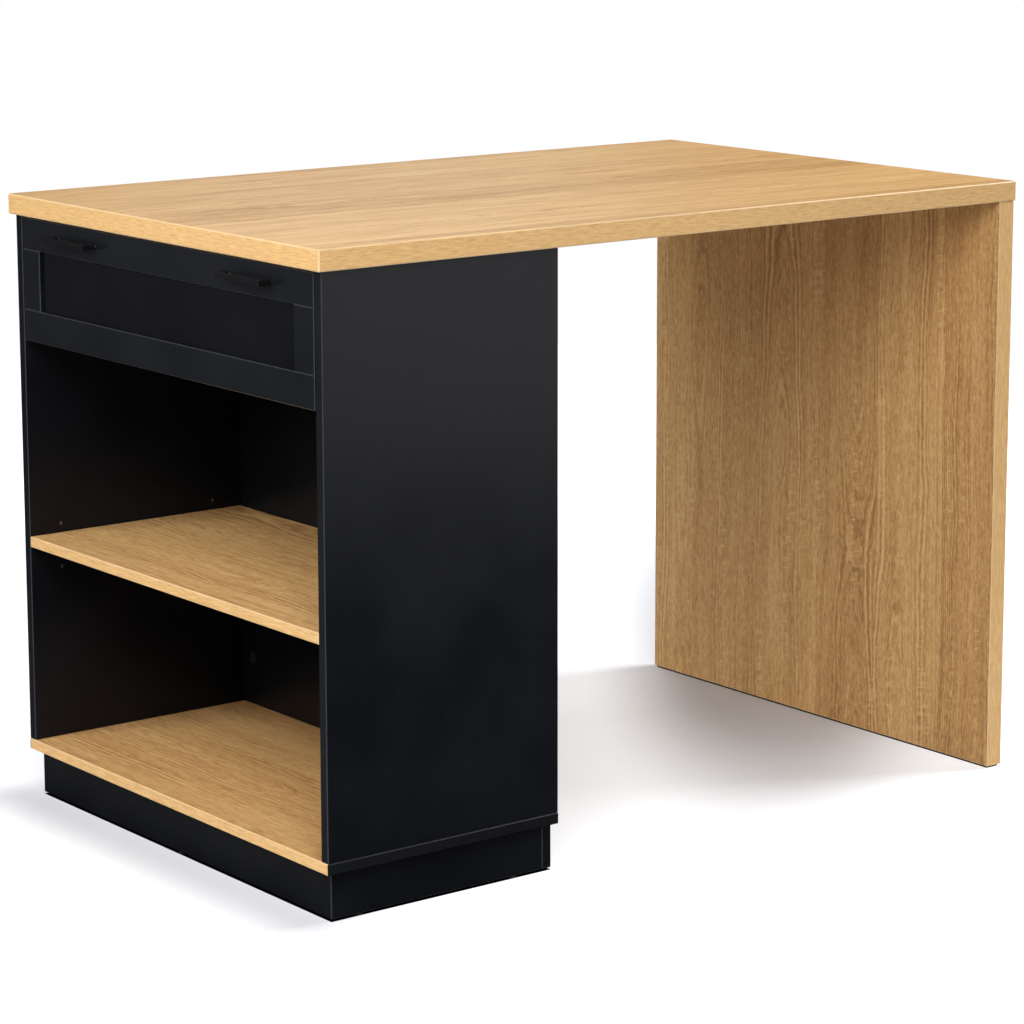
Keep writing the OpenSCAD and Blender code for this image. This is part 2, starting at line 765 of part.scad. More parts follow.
// Slot along X through the web of a channel that stands at y = 0
module spare_slot() {
    half = slot_len / 2 - slot_r;
    for (x = [-half, half]) translate([x, -past, 0]) pointing(Y) cylinder(r = slot_r, h = steel_t + 2 * past);
    block([-half, -past, -slot_r], [half, steel_t + past, slot_r]);
}

// Steel angle under the edge of the drawer side: its upper flange runs on the front roller
module drawer_runner() {
    t = steel_t;
    w = runner_gap;
    s0 = t + flange_edge;
    s1 = w + box_t - flange_edge;
    z0 = z_box - z_track;
    z1 = z_flange - z_track;
    color("silver") translate([0, -y_in, z_track]) difference() {
        along_x(x_box0, x_box1)
            polygon([[s0, z1], [w - t, z1], [w - t, z0 - t], [s1, z0 - t], [s1, z0], [w, z0], [w, z1 + t],
                     [s0, z1 + t]]);
        translate([rear_roller_x, w - t - past, rear_roller_z - z_track]) pointing(Y)
            cylinder(r = axle_r + fit, h = t + 2 * past);
        translate([0, y_in, -z_track]) at_each(box_run_screws) shank_hole(run_screw);
    }
}

// Roller with a pocket for the head of its axle in the face at the origin
module roller() {
    e = roller_edge;
    r = roller_r;
    w = roller_w;
    r_bore = axle_r + fit;
    r_hub = roller_pocket_r;
    r_dish = r - roller_rim;
    z_dish = w - roller_dish;
    rotate_extrude() polygon([[r_hub, 0], [r - e, 0], [r, e], [r, w - e], [r - e, w], [r_dish, w],
        [r_dish - roller_slope, z_dish], [r_hub + roller_slope, z_dish], [r_hub, w], [r_bore, w],
        [r_bore, roller_pocket], [r_hub, roller_pocket]]);
}

// Axle pin: head in the roller's pocket, collar between roller and web, tail riveted behind the web
module axle_pin(collar) {
    e = axle_edge;
    head = axle_head_in;
    w = roller_w + slide_gap;
    web = w + collar + steel_t;
    rotate_extrude() polygon([[0, head], [axle_head_r - e, head], [axle_head_r, head + e],
        [axle_head_r, head + axle_head_t], [axle_r, head + axle_head_t], [axle_r, w],
        [axle_collar_r, w], [axle_collar_r, w + collar], [axle_r, w + collar], [axle_r, web],
        [axle_rivet_r, web], [axle_rivet_r - e, web + axle_rivet_t], [0, web + axle_rivet_t]]);
}

// Shallow hole for the tail of an axle pin, in the board behind the web at the origin
module rivet_hole() {
    translate([0, 0, -past]) cylinder(r = axle_rivet_r + rivet_gap, h = past + rivet_pocket);
}

module front_roller() {
    color("white") translate(front_axle + [0, roller_s1, 0]) pointing(-Y) roller();
}

module rear_roller() {
    color("white") translate(rear_axle + [0, roller_s0, 0]) pointing(Y) roller();
}

module front_axle_pins() {
    color("silver") both_sides() translate(front_axle + [0, roller_s1, 0]) pointing(-Y)
        axle_pin(roller_s0 - slide_gap - steel_t);
}

module rear_axle_pins() {
    color("silver") both_sides() translate(rear_axle + [0, roller_s0, 0]) pointing(Y)
        axle_pin(web_s0 - roller_s1 - slide_gap);
}

module cabinet_runner_screws() {
    color("silver") both_sides() at_each(run_screws) pan_screw(run_screw);
}

module drawer_runner_screws() {
    color("silver") both_sides() at_each(box_run_screws) pan_screw(run_screw);
}

// ---- Drawer front ----------------------------------------------------------------------------

// Groove along Y for the field panel, in the edge of a rail at height z
module rail_groove(z) {
    block([x_field - slot_fit, -y_front - past, z - field_groove],
          [x_field + field_t + slot_fit, y_front + past, z + field_groove]);
}

module drawer_top_rail() {
    color("#202227") difference() {
        board([x_cab0, -y_front, z_rail1], [x_box0, y_front, z_fr1]);
        rail_groove(z_rail1);
        both_sides() at_each(handle_screws_at) shank_hole(handle_screw);
    }
}

module drawer_bottom_rail() {
    color("#202227") difference() {
        board([x_cab0, -y_front, z_fr0], [x_box0, y_front, z_rail0]);
        rail_groove(z_rail0);
        block([x_box0 - bottom_groove - slot_fit, -y_box_in - bottom_groove - slot_fit, z_bottom - slot_fit],
              [x_box0 + past, y_box_in + bottom_groove + slot_fit, z_bottom + bottom_t + slot_fit]);
    }
}

// Stile with a groove for the field panel and a stub tenon into the groove of each rail
module drawer_stile() {
    x0 = x_field;
    x1 = x_field + field_t;
    tenon = field_groove - slot_fit;
    color("#202227") difference() {
        union() {
            board([x_cab0, -y_front, z_rail0], [x_box0, -y_stile, z_rail1]);
            block([x0, -y_front, z_rail0 - tenon], [x1, -y_stile - field_groove, z_rail1 + tenon]);
        }
        block([x0 - slot_fit, -y_stile - field_groove, z_rail0 - past - tenon],
              [x1 + slot_fit, past - y_stile, z_rail1 + past + tenon]);
        at_each(box_cams) cam_bolt_holes();
    }
}

module drawer_field_panel() {
    g = field_groove - slot_fit;
    color("#1a1b20")
        block([x_field, -y_stile - g, z_rail0 - g], [x_field + field_t, y_stile + g, z_rail1 + g]);
}

// ---- Drawer box ------------------------------------------------------------------------------

module drawer_side() {
    color("#d9d5cc") difference() {
        board([x_box0, -y_box, z_box], [x_box1, -y_box_in, z_box1], box_arris);
        block([x_box0 - past, -y_box_in - bottom_groove - slot_fit, z_bottom - slot_fit],
              [x_box1 + past, past - y_box_in, z_bottom + bottom_t + slot_fit]);
        at_each(box_cams) cam_bolt_holes();
        for (p = box_discs) translate(p) pointing(-Y) cam_pocket(box_cam_depth);
        at_each(box_screws) flat_screw_hole(box_screw);
        at_each(box_run_screws) shank_hole(run_screw);
        translate([rear_roller_x, -y_box, rear_roller_z]) pointing(Y) rivet_hole();
    }
}

module drawer_back() {
    color("#d9d5cc") difference() {
        board([x_box1 - box_t, -y_box_in, z_bottom + bottom_t], [x_box1, y_box_in, z_box1], box_arris);
        both_sides() at_each(box_screws) flat_screw_hole(box_screw);
        at_each(bottom_screws) flat_screw_hole(bottom_screw);
    }
}

module drawer_bottom() {
    y = y_box_in + bottom_groove;
    color("#d9d5cc") difference() {
        block([x_box0 - bottom_groove, -y, z_bottom], [x_box1, y, z_bottom + bottom_t]);
        at_each(bottom_screws) flat_screw_hole(bottom_screw);
    }
}

module drawer_cam_bolts() {
    color("silver") both_sides() at_each(box_cams) cam_bolt();
}

module drawer_cam_discs() {
    color("silver") both_sides() for (p = box_discs) translate(p)
        rotate([90, 0, 0]) rotate([0, 0, 180]) cam_disc(box_cam_depth, box_t / 2);
}

module drawer_box_screws() {
    color("silver") {
        both_sides() at_each(box_screws) flat_screw(box_screw);
        at_each(bottom_screws) flat_screw(bottom_screw);
    }
}

// ---- Handles ---------------------------------------------------------------------------------

// Bar handle with square legs, bored from behind for its two screws
module handle() {
    y_half = (handle_pitch + handle_leg) / 2;
    x_out = x_cab0 - handle_proj;
    color("#101114") difference() {
        board([x_out, -y_handle - y_half, z_handle - handle_h / 2],
              [x_cab0, -y_handle + y_half, z_handle + handle_h / 2], handle_arris);
        block([x_out + handle_bar, -y_handle - y_half + handle_leg, z_handle - handle_h],
              [x_cab0 + past, -y_handle + y_half - handle_leg, z_handle + handle_h]);
        at_each(handle_screws_at) shank_hole(handle_screw);
    }
}

module handle_screws() {
    color("silver") both_sides() at_each(handle_screws_at) pan_screw(handle_screw);
}

// ---- Pieces ----------------------------------------------------------------------------------

worktop();
leg_panel();
leg_floor_strip();
floor_strip_screws();
side_panel();  // side_panel_right
mirror(Y) side_panel();  // side_panel_left
bottom_panel();
back_panel();
middle_shelf();
shelf_supports();
plinth_front();
plinth_rear();
plinth_side();  // plinth_right
mirror(Y) plinth_side();  // plinth_left
plinth_glides();
corner_brackets();
bracket_screws();
cam_bolts();
cam_discs();
cam_caps_black();
cam_caps_oak();
wooden_dowels();
base_screws();
cabinet_runner();  // cabinet_runner_right
mirror(Y) cabinet_runner();  // cabinet_runner_left
cabinet_runner_screws();
front_axle_pins();
front_roller();  // front_roller_right
mirror(Y) front_roller();  // front_roller_left
drawer_top_rail();
drawer_bottom_rail();
drawer_stile();  // drawer_stile_right
mirror(Y) drawer_stile();  // drawer_stile_left
drawer_field_panel();
drawer_side();  // drawer_side_right
mirror(Y) drawer_side();  // drawer_side_left
drawer_back();
drawer_bottom();
drawer_cam_bolts();
drawer_cam_discs();
drawer_box_screws();
handle();  // handle_right
mirror(Y) handle();  // handle_left
handle_screws();
drawer_runner();  // drawer_runner_right
mirror(Y) drawer_runner();  // drawer_runner_left
drawer_runner_screws();
rear_axle_pins();
rear_roller();  // rear_roller_right
mirror(Y) rear_roller();  // rear_roller_left
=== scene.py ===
# %% [markdown]
# # Dressing a kitchen island unit
#
# The real unit is flat-pack furniture. An oak print worktop is carried at one end by an oak print leg panel,
# and at the other by a black cabinet with one framed drawer, a loose shelf and a plinth. Every board, screw
# and runner is already modelled at its real size, so this lesson adds what a size can't say: print, gloss,
# light and a few parts whose small shapes are worth a mesh of their own. It starts by loading the finished
# model as a frame that nothing here may move.

# %% Load the finished model
import json
import math
from collections import namedtuple

import bmesh
import bpy
from mathutils import Matrix, Vector


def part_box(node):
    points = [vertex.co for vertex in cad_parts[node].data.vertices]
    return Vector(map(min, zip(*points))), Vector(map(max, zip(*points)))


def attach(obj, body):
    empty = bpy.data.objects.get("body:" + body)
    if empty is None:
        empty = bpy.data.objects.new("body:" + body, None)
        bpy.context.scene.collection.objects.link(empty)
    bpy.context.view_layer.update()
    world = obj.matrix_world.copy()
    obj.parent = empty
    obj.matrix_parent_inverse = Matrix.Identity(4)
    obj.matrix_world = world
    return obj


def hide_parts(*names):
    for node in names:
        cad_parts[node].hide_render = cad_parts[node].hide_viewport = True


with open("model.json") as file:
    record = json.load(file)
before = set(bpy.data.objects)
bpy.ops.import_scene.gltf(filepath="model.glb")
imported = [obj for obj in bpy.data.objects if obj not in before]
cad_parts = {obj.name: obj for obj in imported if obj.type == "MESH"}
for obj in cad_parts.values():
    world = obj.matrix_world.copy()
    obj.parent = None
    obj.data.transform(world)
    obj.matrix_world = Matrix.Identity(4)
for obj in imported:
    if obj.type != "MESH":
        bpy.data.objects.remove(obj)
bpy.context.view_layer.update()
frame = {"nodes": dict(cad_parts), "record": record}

MM = 0.001
nodes = frame["nodes"]
scene = bpy.context.scene

# %% [markdown]
# ## The camera
#
# The photograph was taken with a long lens from the front left, a little above the worktop. A long lens
# flattens the perspective, as product photographers like it, because the far end of the worktop then looks as
# deep as the near one. Three angles say where the camera looks, and its axes follow from them. The lens is
# shifted a little downwards instead of tilted, so that upright edges stay almost upright in the picture.

# %% Place the camera
CAMERA_PLACE = Vector((-2.9236, -3.7948, 1.4048))
CAMERA_AZIMUTH = math.radians(-37.547)
CAMERA_ELEVATION = math.radians(10.282)
CAMERA_ROLL = math.radians(-0.12)
CAMERA_LENS = 120.72
CAMERA_SHIFT = -0.0947


def camera_axes(azimuth, elevation, roll):
    """The camera's own right, up and backward directions."""
    back = Vector((math.sin(azimuth) * math.cos(elevation), -math.cos(azimuth) * math.cos(elevation),
                   math.sin(elevation)))
    right = Vector((math.cos(azimuth), math.sin(azimuth), 0))
    up = back.cross(right)
    return right * math.cos(roll) + up * math.sin(roll), up * math.cos(roll) - right * math.sin(roll), back


camera = bpy.data.objects.new("camera", bpy.data.cameras.new("camera"))
camera.data.lens = CAMERA_LENS
camera.data.shift_y = CAMERA_SHIFT
turn = Matrix(camera_axes(CAMERA_AZIMUTH, CAMERA_ELEVATION, CAMERA_ROLL)).transposed()
camera.matrix_world = Matrix.Translation(CAMERA_PLACE) @ turn.to_4x4()
scene.collection.objects.link(camera)
scene.camera = camera
print(f"camera {CAMERA_PLACE.length:.2f} m from the middle of the unit, {CAMERA_LENS} mm lens")

# %% [markdown]
# ## A helper for wiring nodes
#
# Every finish below is a network of shader nodes, and every repeated part is a network of geometry nodes.
# Wiring them by hand takes three lines a node, which hides the idea. This small class adds a node, fills or
# links its inputs and hands back its result, so that a formula reads like a formula.

# %% Define the wiring helper
FLOAT, VECTOR, COLOUR = "NodeSocketFloat", "NodeSocketVector", "NodeSocketColor"
SHADER_TREE, SHAPE_TREE = "ShaderNodeTree", "GeometryNodeTree"


class Wires:
    """Adds nodes to one tree. Each method returns the socket that holds the result."""

    def __init__(self, tree):
        self.tree = tree

    def feed(self, socket, value):
        if isinstance(value, bpy.types.NodeSocket):
            self.tree.links.new(value, socket)
        else:
            socket.default_value = value

    def node(self, kind, inputs=None, **options):
        node = self.tree.nodes.new(kind)
        for option, value in options.items():
            setattr(node, option, value)
        for key, value in (inputs or {}).items():
            self.feed(node.inputs[key], value)
        return node

    def maths(self, operation, *values):
        return self.node("ShaderNodeMath", dict(enumerate(values)), operation=operation).outputs[0]

    def vector_maths(self, operation, *values):
        return self.node("ShaderNodeVectorMath", dict(enumerate(values)), operation=operation).outputs[0]

    def waver(self, base, pattern, weight):
        """Adds a pattern that lies around one half, so that the base keeps its average."""
        return self.maths("MULTIPLY_ADD", self.maths("SUBTRACT", pattern, 0.5), weight, base)

    def length(self, vector):
        return self.node("ShaderNodeVectorMath", {0: vector}, operation="LENGTH").outputs["Value"]

    def split(self, vector):
        return tuple(self.node("ShaderNodeSeparateXYZ", {0: vector}).outputs)

    def join(self, x=0.0, y=0.0, z=0.0):
        return self.node("ShaderNodeCombineXYZ", {0: x, 1: y, 2: z}).outputs[0]

    def noise(self, vector, scale=1.0, detail=2.0, roughness=0.5):
        inputs = {"Vector": vector, "Scale": scale, "Detail": detail, "Roughness": roughness}
        return self.node("ShaderNodeTexNoise", inputs).outputs[0]

    def noise_line(self, value, detail=2.0, roughness=0.5):
        inputs = {"W": value, "Scale": 1.0, "Detail": detail, "Roughness": roughness}
        return self.node("ShaderNodeTexNoise", inputs, noise_dimensions="1D").outputs[0]

    def between(self, value, low, high, first=0.0, second=1.0):
        """Runs smoothly from first to second while the value goes from low to high."""
        inputs = {"Value": value, "From Min": low, "From Max": high, "To Min": first, "To Max": second}
        return self.node("ShaderNodeMapRange", inputs, interpolation_type="SMOOTHSTEP").outputs[0]

    def mix(self, factor, first, second):
        return self.node("ShaderNodeMix", {0: factor, 6: first, 7: second}, data_type="RGBA").outputs[2]

    def ramp(self, factor, *stops):
        node = self.node("ShaderNodeValToRGB", {"Fac": factor})
        points = node.color_ramp.elements
        while len(points) < len(stops):
            points.new(1.0)
        for point, (place, colour) in zip(points, stops):
            point.position = place
            point.color = (*colour, 1.0)
        return node.outputs["Color"]

    def group(self, tree, **inputs):
        named = {name.replace("_", " "): value for name, value in inputs.items()}
        return self.node("ShaderNodeGroup", named, node_tree=tree).outputs


def empty_tree(kind, name, inputs, outputs):
    """A new tree with named sockets: its wires, what goes in and what comes out."""
    tree = bpy.data.node_groups.new(name, kind)
    for in_out, sockets in (("INPUT", inputs), ("OUTPUT", outputs)):
        for label, socket in sockets.items():
            tree.interface.new_socket(name=label, in_out=in_out, socket_type=socket)
    wires = Wires(tree)
    return wires, wires.node("NodeGroupInput").outputs, wires.node("NodeGroupOutput").inputs


print("wiring helper ready")

# %% [markdown]
# ## Which face of the board is this?
#
# A laminated board wears a printed sheet on its two faces and a printed strip glued round its edges. On each
# of them the grain runs along the length. So before any wood can be drawn, the material has to know which
# side of the board it is on. The first group compares the surface's direction with the board's own axes, and
# turns the place on the board into three grain coordinates: along the grain, across it and into the board.
# Its Band output is 1 on the edge strips.

# %% Build the board_axes group
ACROSS_EDGE = 0.75


def board_axes():
    wires, given, made = empty_tree(
        SHADER_TREE, "board_axes", {"Position": VECTOR, "Normal": VECTOR}, {"Grain": VECTOR, "Band": FLOAT})
    along, across, depth = wires.split(given["Position"])
    end, side, _ = wires.split(wires.vector_maths("ABSOLUTE", given["Normal"]))
    on_end = wires.maths("GREATER_THAN", end, ACROSS_EDGE)
    on_side = wires.maths("GREATER_THAN", side, ACROSS_EDGE)
    grain = wires.mix(on_side, wires.join(along, across, depth), wires.join(along, depth, across))
    wires.feed(made["Grain"], wires.mix(on_end, grain, wires.join(across, depth, along)))
    wires.feed(made["Band"], wires.maths("MAXIMUM", on_end, on_side))
    return wires.tree


BOARD_AXES = board_axes()
print("group", BOARD_AXES.name)

# %% [markdown]
# ## Where the saw and the drill went in
#
# Under the print lies chipboard. It shows wherever a hole or a groove cuts into the board, never on the
# outside. The next group measures how deep a point lies below the nearest of the board's six sides. Past one
# millimetre it can only be the wall of a hole or a groove. Its Arris output marks the narrow chamfers along
# the edges instead, where the oak and black finishes paint a pale highlight: they are the only places near
# the surface that face between two axes.

# %% Build the board_core group
SKIN = 1.0 * MM
CHAMFER_FACES = 0.9


def board_core():
    wires, given, made = empty_tree(
        SHADER_TREE, "board_core", {"Position": VECTOR, "Normal": VECTOR, "Low": VECTOR, "High": VECTOR},
        {"Core": FLOAT, "Arris": FLOAT})
    m = wires.maths
    from_low = wires.vector_maths("SUBTRACT", given["Position"], given["Low"])
    from_high = wires.vector_maths("SUBTRACT", given["High"], given["Position"])
    x, y, z = wires.split(wires.vector_maths("MINIMUM", from_low, from_high))
    core = m("GREATER_THAN", m("MINIMUM", m("MINIMUM", x, y), z), SKIN)
    x, y, z = wires.split(wires.vector_maths("ABSOLUTE", given["Normal"]))
    slanted = m("LESS_THAN", m("MAXIMUM", m("MAXIMUM", x, y), z), CHAMFER_FACES)
    wires.feed(made["Core"], core)
    wires.feed(made["Arris"], m("MULTIPLY", slanted, m("SUBTRACT", 1.0, core)))
    return wires.tree


BOARD_CORE = board_core()
print("group", BOARD_CORE.name)

# %% [markdown]
# Chipboard is pressed from wood chips of many tones, lying every way. Voronoi cells with a random brightness
# each look just like it, and the distance from the middle of a cell gives the sawn surface its unevenness.

# %% Build the chipboard group
CHIP_SIZE = 1.6 * MM
CHIP_TONES = ((0.0, (0.24, 0.14, 0.065)), (0.5, (0.42, 0.27, 0.14)), (1.0, (0.62, 0.45, 0.27)))


def chipboard():
    wires, given, made = empty_tree(
        SHADER_TREE, "chipboard", {"Position": VECTOR}, {"Color": COLOUR, "Height": FLOAT})
    chips = wires.node("ShaderNodeTexVoronoi", {"Vector": given["Position"], "Scale": 1 / CHIP_SIZE})
    brightness = wires.split(chips.outputs["Color"])[0]
    wires.feed(made["Color"], wires.ramp(brightness, *CHIP_TONES))
    wires.feed(made["Height"], chips.outputs["Distance"])
    return wires.tree


CHIPBOARD = chipboard()
print("group", CHIPBOARD.name)

# %% [markdown]
# ## The oak print
#
# The print copies boards sawn from an oak log and laid side by side in lanes. Each lane comes from another
# part of the log, so it has its own tone and its own figure. Inside a lane, the rings are measured the way a
# saw meets them: as the distance from the middle of the log, which lies under or beside the lane and wanders
# slowly along it. Where it lies beside, the rings run as straight lines. Where it lies just below, they close
# into the pointed arches that show on the leg panel. Over the rings lie long soft streaks, fine fibres, and
# the flecks that oak is known for: groups of short pale bars that cross the grain like the rungs of a ladder.
#
# A photograph would give this too, but it would repeat and blur close up. Noise textures stay sharp at any
# distance and never repeat. What makes noise look like wood is its pace: along the grain it changes slowly,
# and across it quickly. So one table holds the paces of all the patterns, and one function draws any of them.

# %% Draw a pattern in the grain
OAK_PATTERNS = {
    # pattern: (changes in a metre along the grain, changes across it, layer of the noise, detail, roughness)
    "sway": (1.6, 5.0, 12.0, 2.0, 0.5),
    "wander": (4.0, 8.0, None, 2.0, 0.5),
    "ragged": (40.0, 120.0, None, 3.0, 0.5),
    "streak": (1.8, 30.0, 3.0, 4.0, 0.7),
    "strength": (1.6, 9.6, 12.8, 2.0, 0.5),
    "column": (3.4, 34.0, 5.0, 1.0, 0.5),
    "rung": (1.0, 30.0, 6.0, 1.0, 0.5),
}


def oak_pattern(wires, name, along, across, lane=None):
    """Noise with its own pace along and across the grain. A pattern without a layer takes the lane's."""
    pace_along, pace_across, layer, detail, roughness = OAK_PATTERNS[name]
    along, across = wires.maths("MULTIPLY", along, pace_along), wires.maths("MULTIPLY", across, pace_across)
    place = wires.join(along, across, lane if layer is None else layer)
    return wires.noise(place, detail=detail, roughness=roughness)


print("patterns in the oak:", *OAK_PATTERNS)

# %% [markdown]
# The group puts the patterns together. A Voronoi texture of one dimension cuts the width into lanes, and its
# random colour hands each lane three numbers of its own: a tint, a place for the middle of its log, and a
# slide along that log. The rings follow the distance from the middle. They are faint in some places and strong
# in others, as on a real board, and streaks and the lane's tint are laid over them.

# %% Build the oak_print group
# lanes: their width, how uneven it is, and how many metres the lanes may slide along the log
LANE, LANE_UNEVEN, LANE_SLIDE = 135 * MM, 0.6, 5.0
# the middle of the log: how many lanes it may lie aside, how far it may sink, and how soon that changes
HEART_BESIDE = 1.7
HEART_SINKS, HEART_HIGHEST = 75 * MM, -12 * MM
HEART_PACE, HEART_LAYERS = 1.3, 9.0
# rings: their width, how far they are pushed about, and where and how much they fade
RING = 3.6 * MM
SWAY_WIDTH, WANDER_WIDTH, RAGGED_WIDTH = 18 * MM, 36 * MM, 5.5 * MM
FAINT_AT, STRONG_AT, FAINT, STRONG = 0.35, 0.65, 0.25, 0.85
STREAK_WEIGHT, TINT_WEIGHT = 0.50, 0.12
# one seed is this many metres from the next
SEED_ALONG, SEED_ACROSS = 2.3, 1.9
FIBRES_ACROSS = 240.0
# flecks: the slant of their rungs, and how much of the two noises turns into columns and rungs
RUNGS_ALONG, RUNGS_ACROSS = 150.0, 38.0
COLUMN_EDGE, RUNG_EDGE = (0.56, 0.68), (0.53, 0.62)


def oak_print():
    wires, given, made = empty_tree(
        SHADER_TREE, "oak_print", {"Grain": VECTOR, "Seed": FLOAT, "Fibre Pace": FLOAT},
        {"Figure": FLOAT, "Fibre": FLOAT, "Fleck": FLOAT})
    m, waver = wires.maths, wires.waver
    along, across, depth = wires.split(given["Grain"])
    along = m("MULTIPLY_ADD", given["Seed"], SEED_ALONG, along)
    across = m("MULTIPLY_ADD", given["Seed"], SEED_ACROSS, across)
    across = waver(across, oak_pattern(wires, "sway", along, across), SWAY_WIDTH)

    lanes = wires.node("ShaderNodeTexVoronoi", {
        "W": m("DIVIDE", across, LANE), "Scale": 1.0, "Randomness": LANE_UNEVEN}, voronoi_dimensions="1D")
    tint, place, slide = wires.split(lanes.outputs["Color"])
    own_along = m("MULTIPLY_ADD", slide, LANE_SLIDE, along)
    heart = m("MULTIPLY", waver(lanes.outputs["W"], place, HEART_BESIDE), LANE)
    wander = oak_pattern(wires, "wander", own_along, across, place)
    beside = waver(m("SUBTRACT", across, heart), wander, WANDER_WIDTH)
    sinking = wires.noise_line(m("MULTIPLY_ADD", place, HEART_LAYERS, m("MULTIPLY", own_along, HEART_PACE)))
    below = m("MULTIPLY_ADD", sinking, HEART_SINKS, HEART_HIGHEST)
    reach = m("SQRT", m("ADD", m("MULTIPLY", beside, beside), m("MULTIPLY", below, below)))
    reach = waver(reach, oak_pattern(wires, "ragged", own_along, across, place), RAGGED_WIDTH)
    rings = wires.noise_line(m("DIVIDE", reach, RING), detail=3.0, roughness=0.6)

    strength = wires.between(oak_pattern(wires, "strength", along, across), FAINT_AT, STRONG_AT,
                             FAINT, STRONG)
    figure = m("MULTIPLY", m("SUBTRACT", rings, 0.5), strength)
    figure = waver(figure, oak_pattern(wires, "streak", along, across), STREAK_WEIGHT)
    figure = waver(figure, tint, TINT_WEIGHT)
    wires.feed(made["Figure"], m("ADD", figure, 0.5))

    paces = wires.join(given["Fibre Pace"], FIBRES_ACROSS, FIBRES_ACROSS)
    fibres = wires.vector_maths("MULTIPLY", wires.join(along, across, depth), paces)
    wires.feed(made["Fibre"], wires.noise(fibres, detail=4.0, roughness=0.75))

    column = wires.between(oak_pattern(wires, "column", along, across), *COLUMN_EDGE)
    slant = m("MULTIPLY_ADD", across, RUNGS_ACROSS, m("MULTIPLY", along, RUNGS_ALONG))
    rung = wires.between(oak_pattern(wires, "rung", slant, across), *RUNG_EDGE)
    wires.feed(made["Fleck"], m("MULTIPLY", column, rung))
    return wires.tree


OAK_PRINT = oak_print()
print("group", OAK_PRINT.name, "with lanes about", round(LANE / MM), "mm wide")

# %% [markdown]
# ## Laying a finish on a surface
#
# All finishes end in the same way. The Principled BSDF stands for the surface and takes a colour, a roughness
# that runs between two values along with a pattern, and a relief from a Bump node. Boards need two things
# more: a place that is measured from their own middle and turned along their grain, and chipboard in their
# holes. A few helpers do all this once, so each finish below says only what is its own.

# %% Define the helpers for finishes
NOISE_LOW, NOISE_HIGH = 0.3, 0.7
Finish = namedtuple("Finish", "rough_at_low rough_at_high relief_depth relief_strength shine")


def new_material(name):
    """A material with a bare Principled BSDF: itself, its wires, the BSDF's inputs and the coordinates."""
    material = bpy.data.materials.new(name)
    material.use_nodes = True
    material.node_tree.nodes.clear()
    wires = Wires(material.node_tree)
    surface = wires.node("ShaderNodeBsdfPrincipled")
    wires.node("ShaderNodeOutputMaterial", {"Surface": surface.outputs[0]})
    return material, wires, surface.inputs, wires.node("ShaderNodeTexCoord").outputs


def cover(wires, surface, colour, pattern, height, finish):
    """Gives a surface its colour, a roughness that follows a pattern, a relief and a shine."""
    rough = wires.between(pattern, NOISE_LOW, NOISE_HIGH, finish.rough_at_low, finish.rough_at_high)
    relief = wires.node("ShaderNodeBump", {
        "Height": height, "Distance": finish.relief_depth, "Strength": finish.relief_strength}).outputs[0]
    for name, value in {"Base Color": colour, "Roughness": rough, "Normal": relief,
                        "Specular IOR Level": finish.shine}.items():
        wires.feed(surface[name], value)


def grain_of(wires, coordinates, node, rotation):
    """The board_axes group on a node's board: where a point lies in the grain, and whether on a strip."""
    low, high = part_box(node)
    centred = wires.vector_maths("SUBTRACT", coordinates["Object"], tuple((low + high) / 2))
    placed, facing = [wires.node("ShaderNodeMapping", {"Vector": vector, "Rotation": rotation}).outputs[0]
                      for vector in (centred, coordinates["Normal"])]
    return wires.group(BOARD_AXES, Position=placed, Normal=facing)


def core_of(wires, coordinates, node):
    """The board_core group on a node's board: whether a point lies in a hole, and whether on an arris."""
    low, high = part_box(node)
    return wires.group(BOARD_CORE, Position=coordinates["Object"], Normal=coordinates["Normal"],
                       Low=tuple(low), High=tuple(high))


def with_chipboard(wires, coordinates, core, colour, height):
    """Shows chipboard in the holes: the colour and the height to use."""
    chips = wires.group(CHIPBOARD, Position=coordinates["Object"])
    return (wires.mix(core["Core"], colour, chips["Color"]),
            wires.maths("MULTIPLY_ADD", chips["Height"], core["Core"], height))


def wear(material, *names):
    """Gives every slot of the finished pieces with these names this material."""
    for slot in [slot for name in names for slot in nodes[name].material_slots]:
        slot.link = "OBJECT"
        slot.material = material


print("a finish has", *Finish._fields)

# %% [markdown]
# ## Putting oak on a board
#
# Four boards wear the print: the worktop, the leg panel, the shelf and the bottom of the cabinet. They differ
# only in which way the grain runs, in the place on the log, in how short the fibres are and in a little
# painted shade, which darkens the faces of the leg panel and the shelf and lightens the bottom panel's to suit
# the light they get, so one function makes all four materials. The worktop is seen at a low angle, which
# squeezes its print, so its fibres are the longest. The leg panel is seen square on, and its fibres are the
# shortest. A
# Mapping node turns the board until its grain lies along the group's first axis, and a second one turns the
# surface direction in the same way. The ramp then gives the tones their colours, from the brown of the ring
# lines to the straw of the wide bands.
#
# The edge strips are cut from plainer wood. They have finer fibres of their own, hardly any figure and no
# flecks, and a pale painted highlight runs along their chamfered corners round the board. The bottom panel's
# two ends lie flush with the black sides, so they are banded in black.

# %% Make the oak materials
QUARTER = math.radians(90)
GRAIN_ALONG_X = (0, 0, 0)
GRAIN_ALONG_Y = (0, 0, -QUARTER)
GRAIN_ALONG_Z = (0, QUARTER, 0)
OAK_TONES = ((0.24, (0.345, 0.172, 0.062)), (0.40, (0.505, 0.280, 0.105)), (0.52, (0.600, 0.358, 0.143)),
             (0.66, (0.690, 0.440, 0.190)), (0.84, (0.770, 0.525, 0.245)))
OAK_PALE, FLECK_WEIGHT = (0.78, 0.54, 0.26, 1), 0.34
# the colour and the share of the painted highlight along the oak boards' chamfered arrises
OAK_ARRIS_HIGHLIGHT, ARRIS_HIGHLIGHT_WEIGHT = (0.88, 0.68, 0.41, 1), 0.5
OAK_FINISH = Finish(0.56, 0.44, 0.15 * MM, 0.35, 0.25)
FACE_FIBRE = 0.75
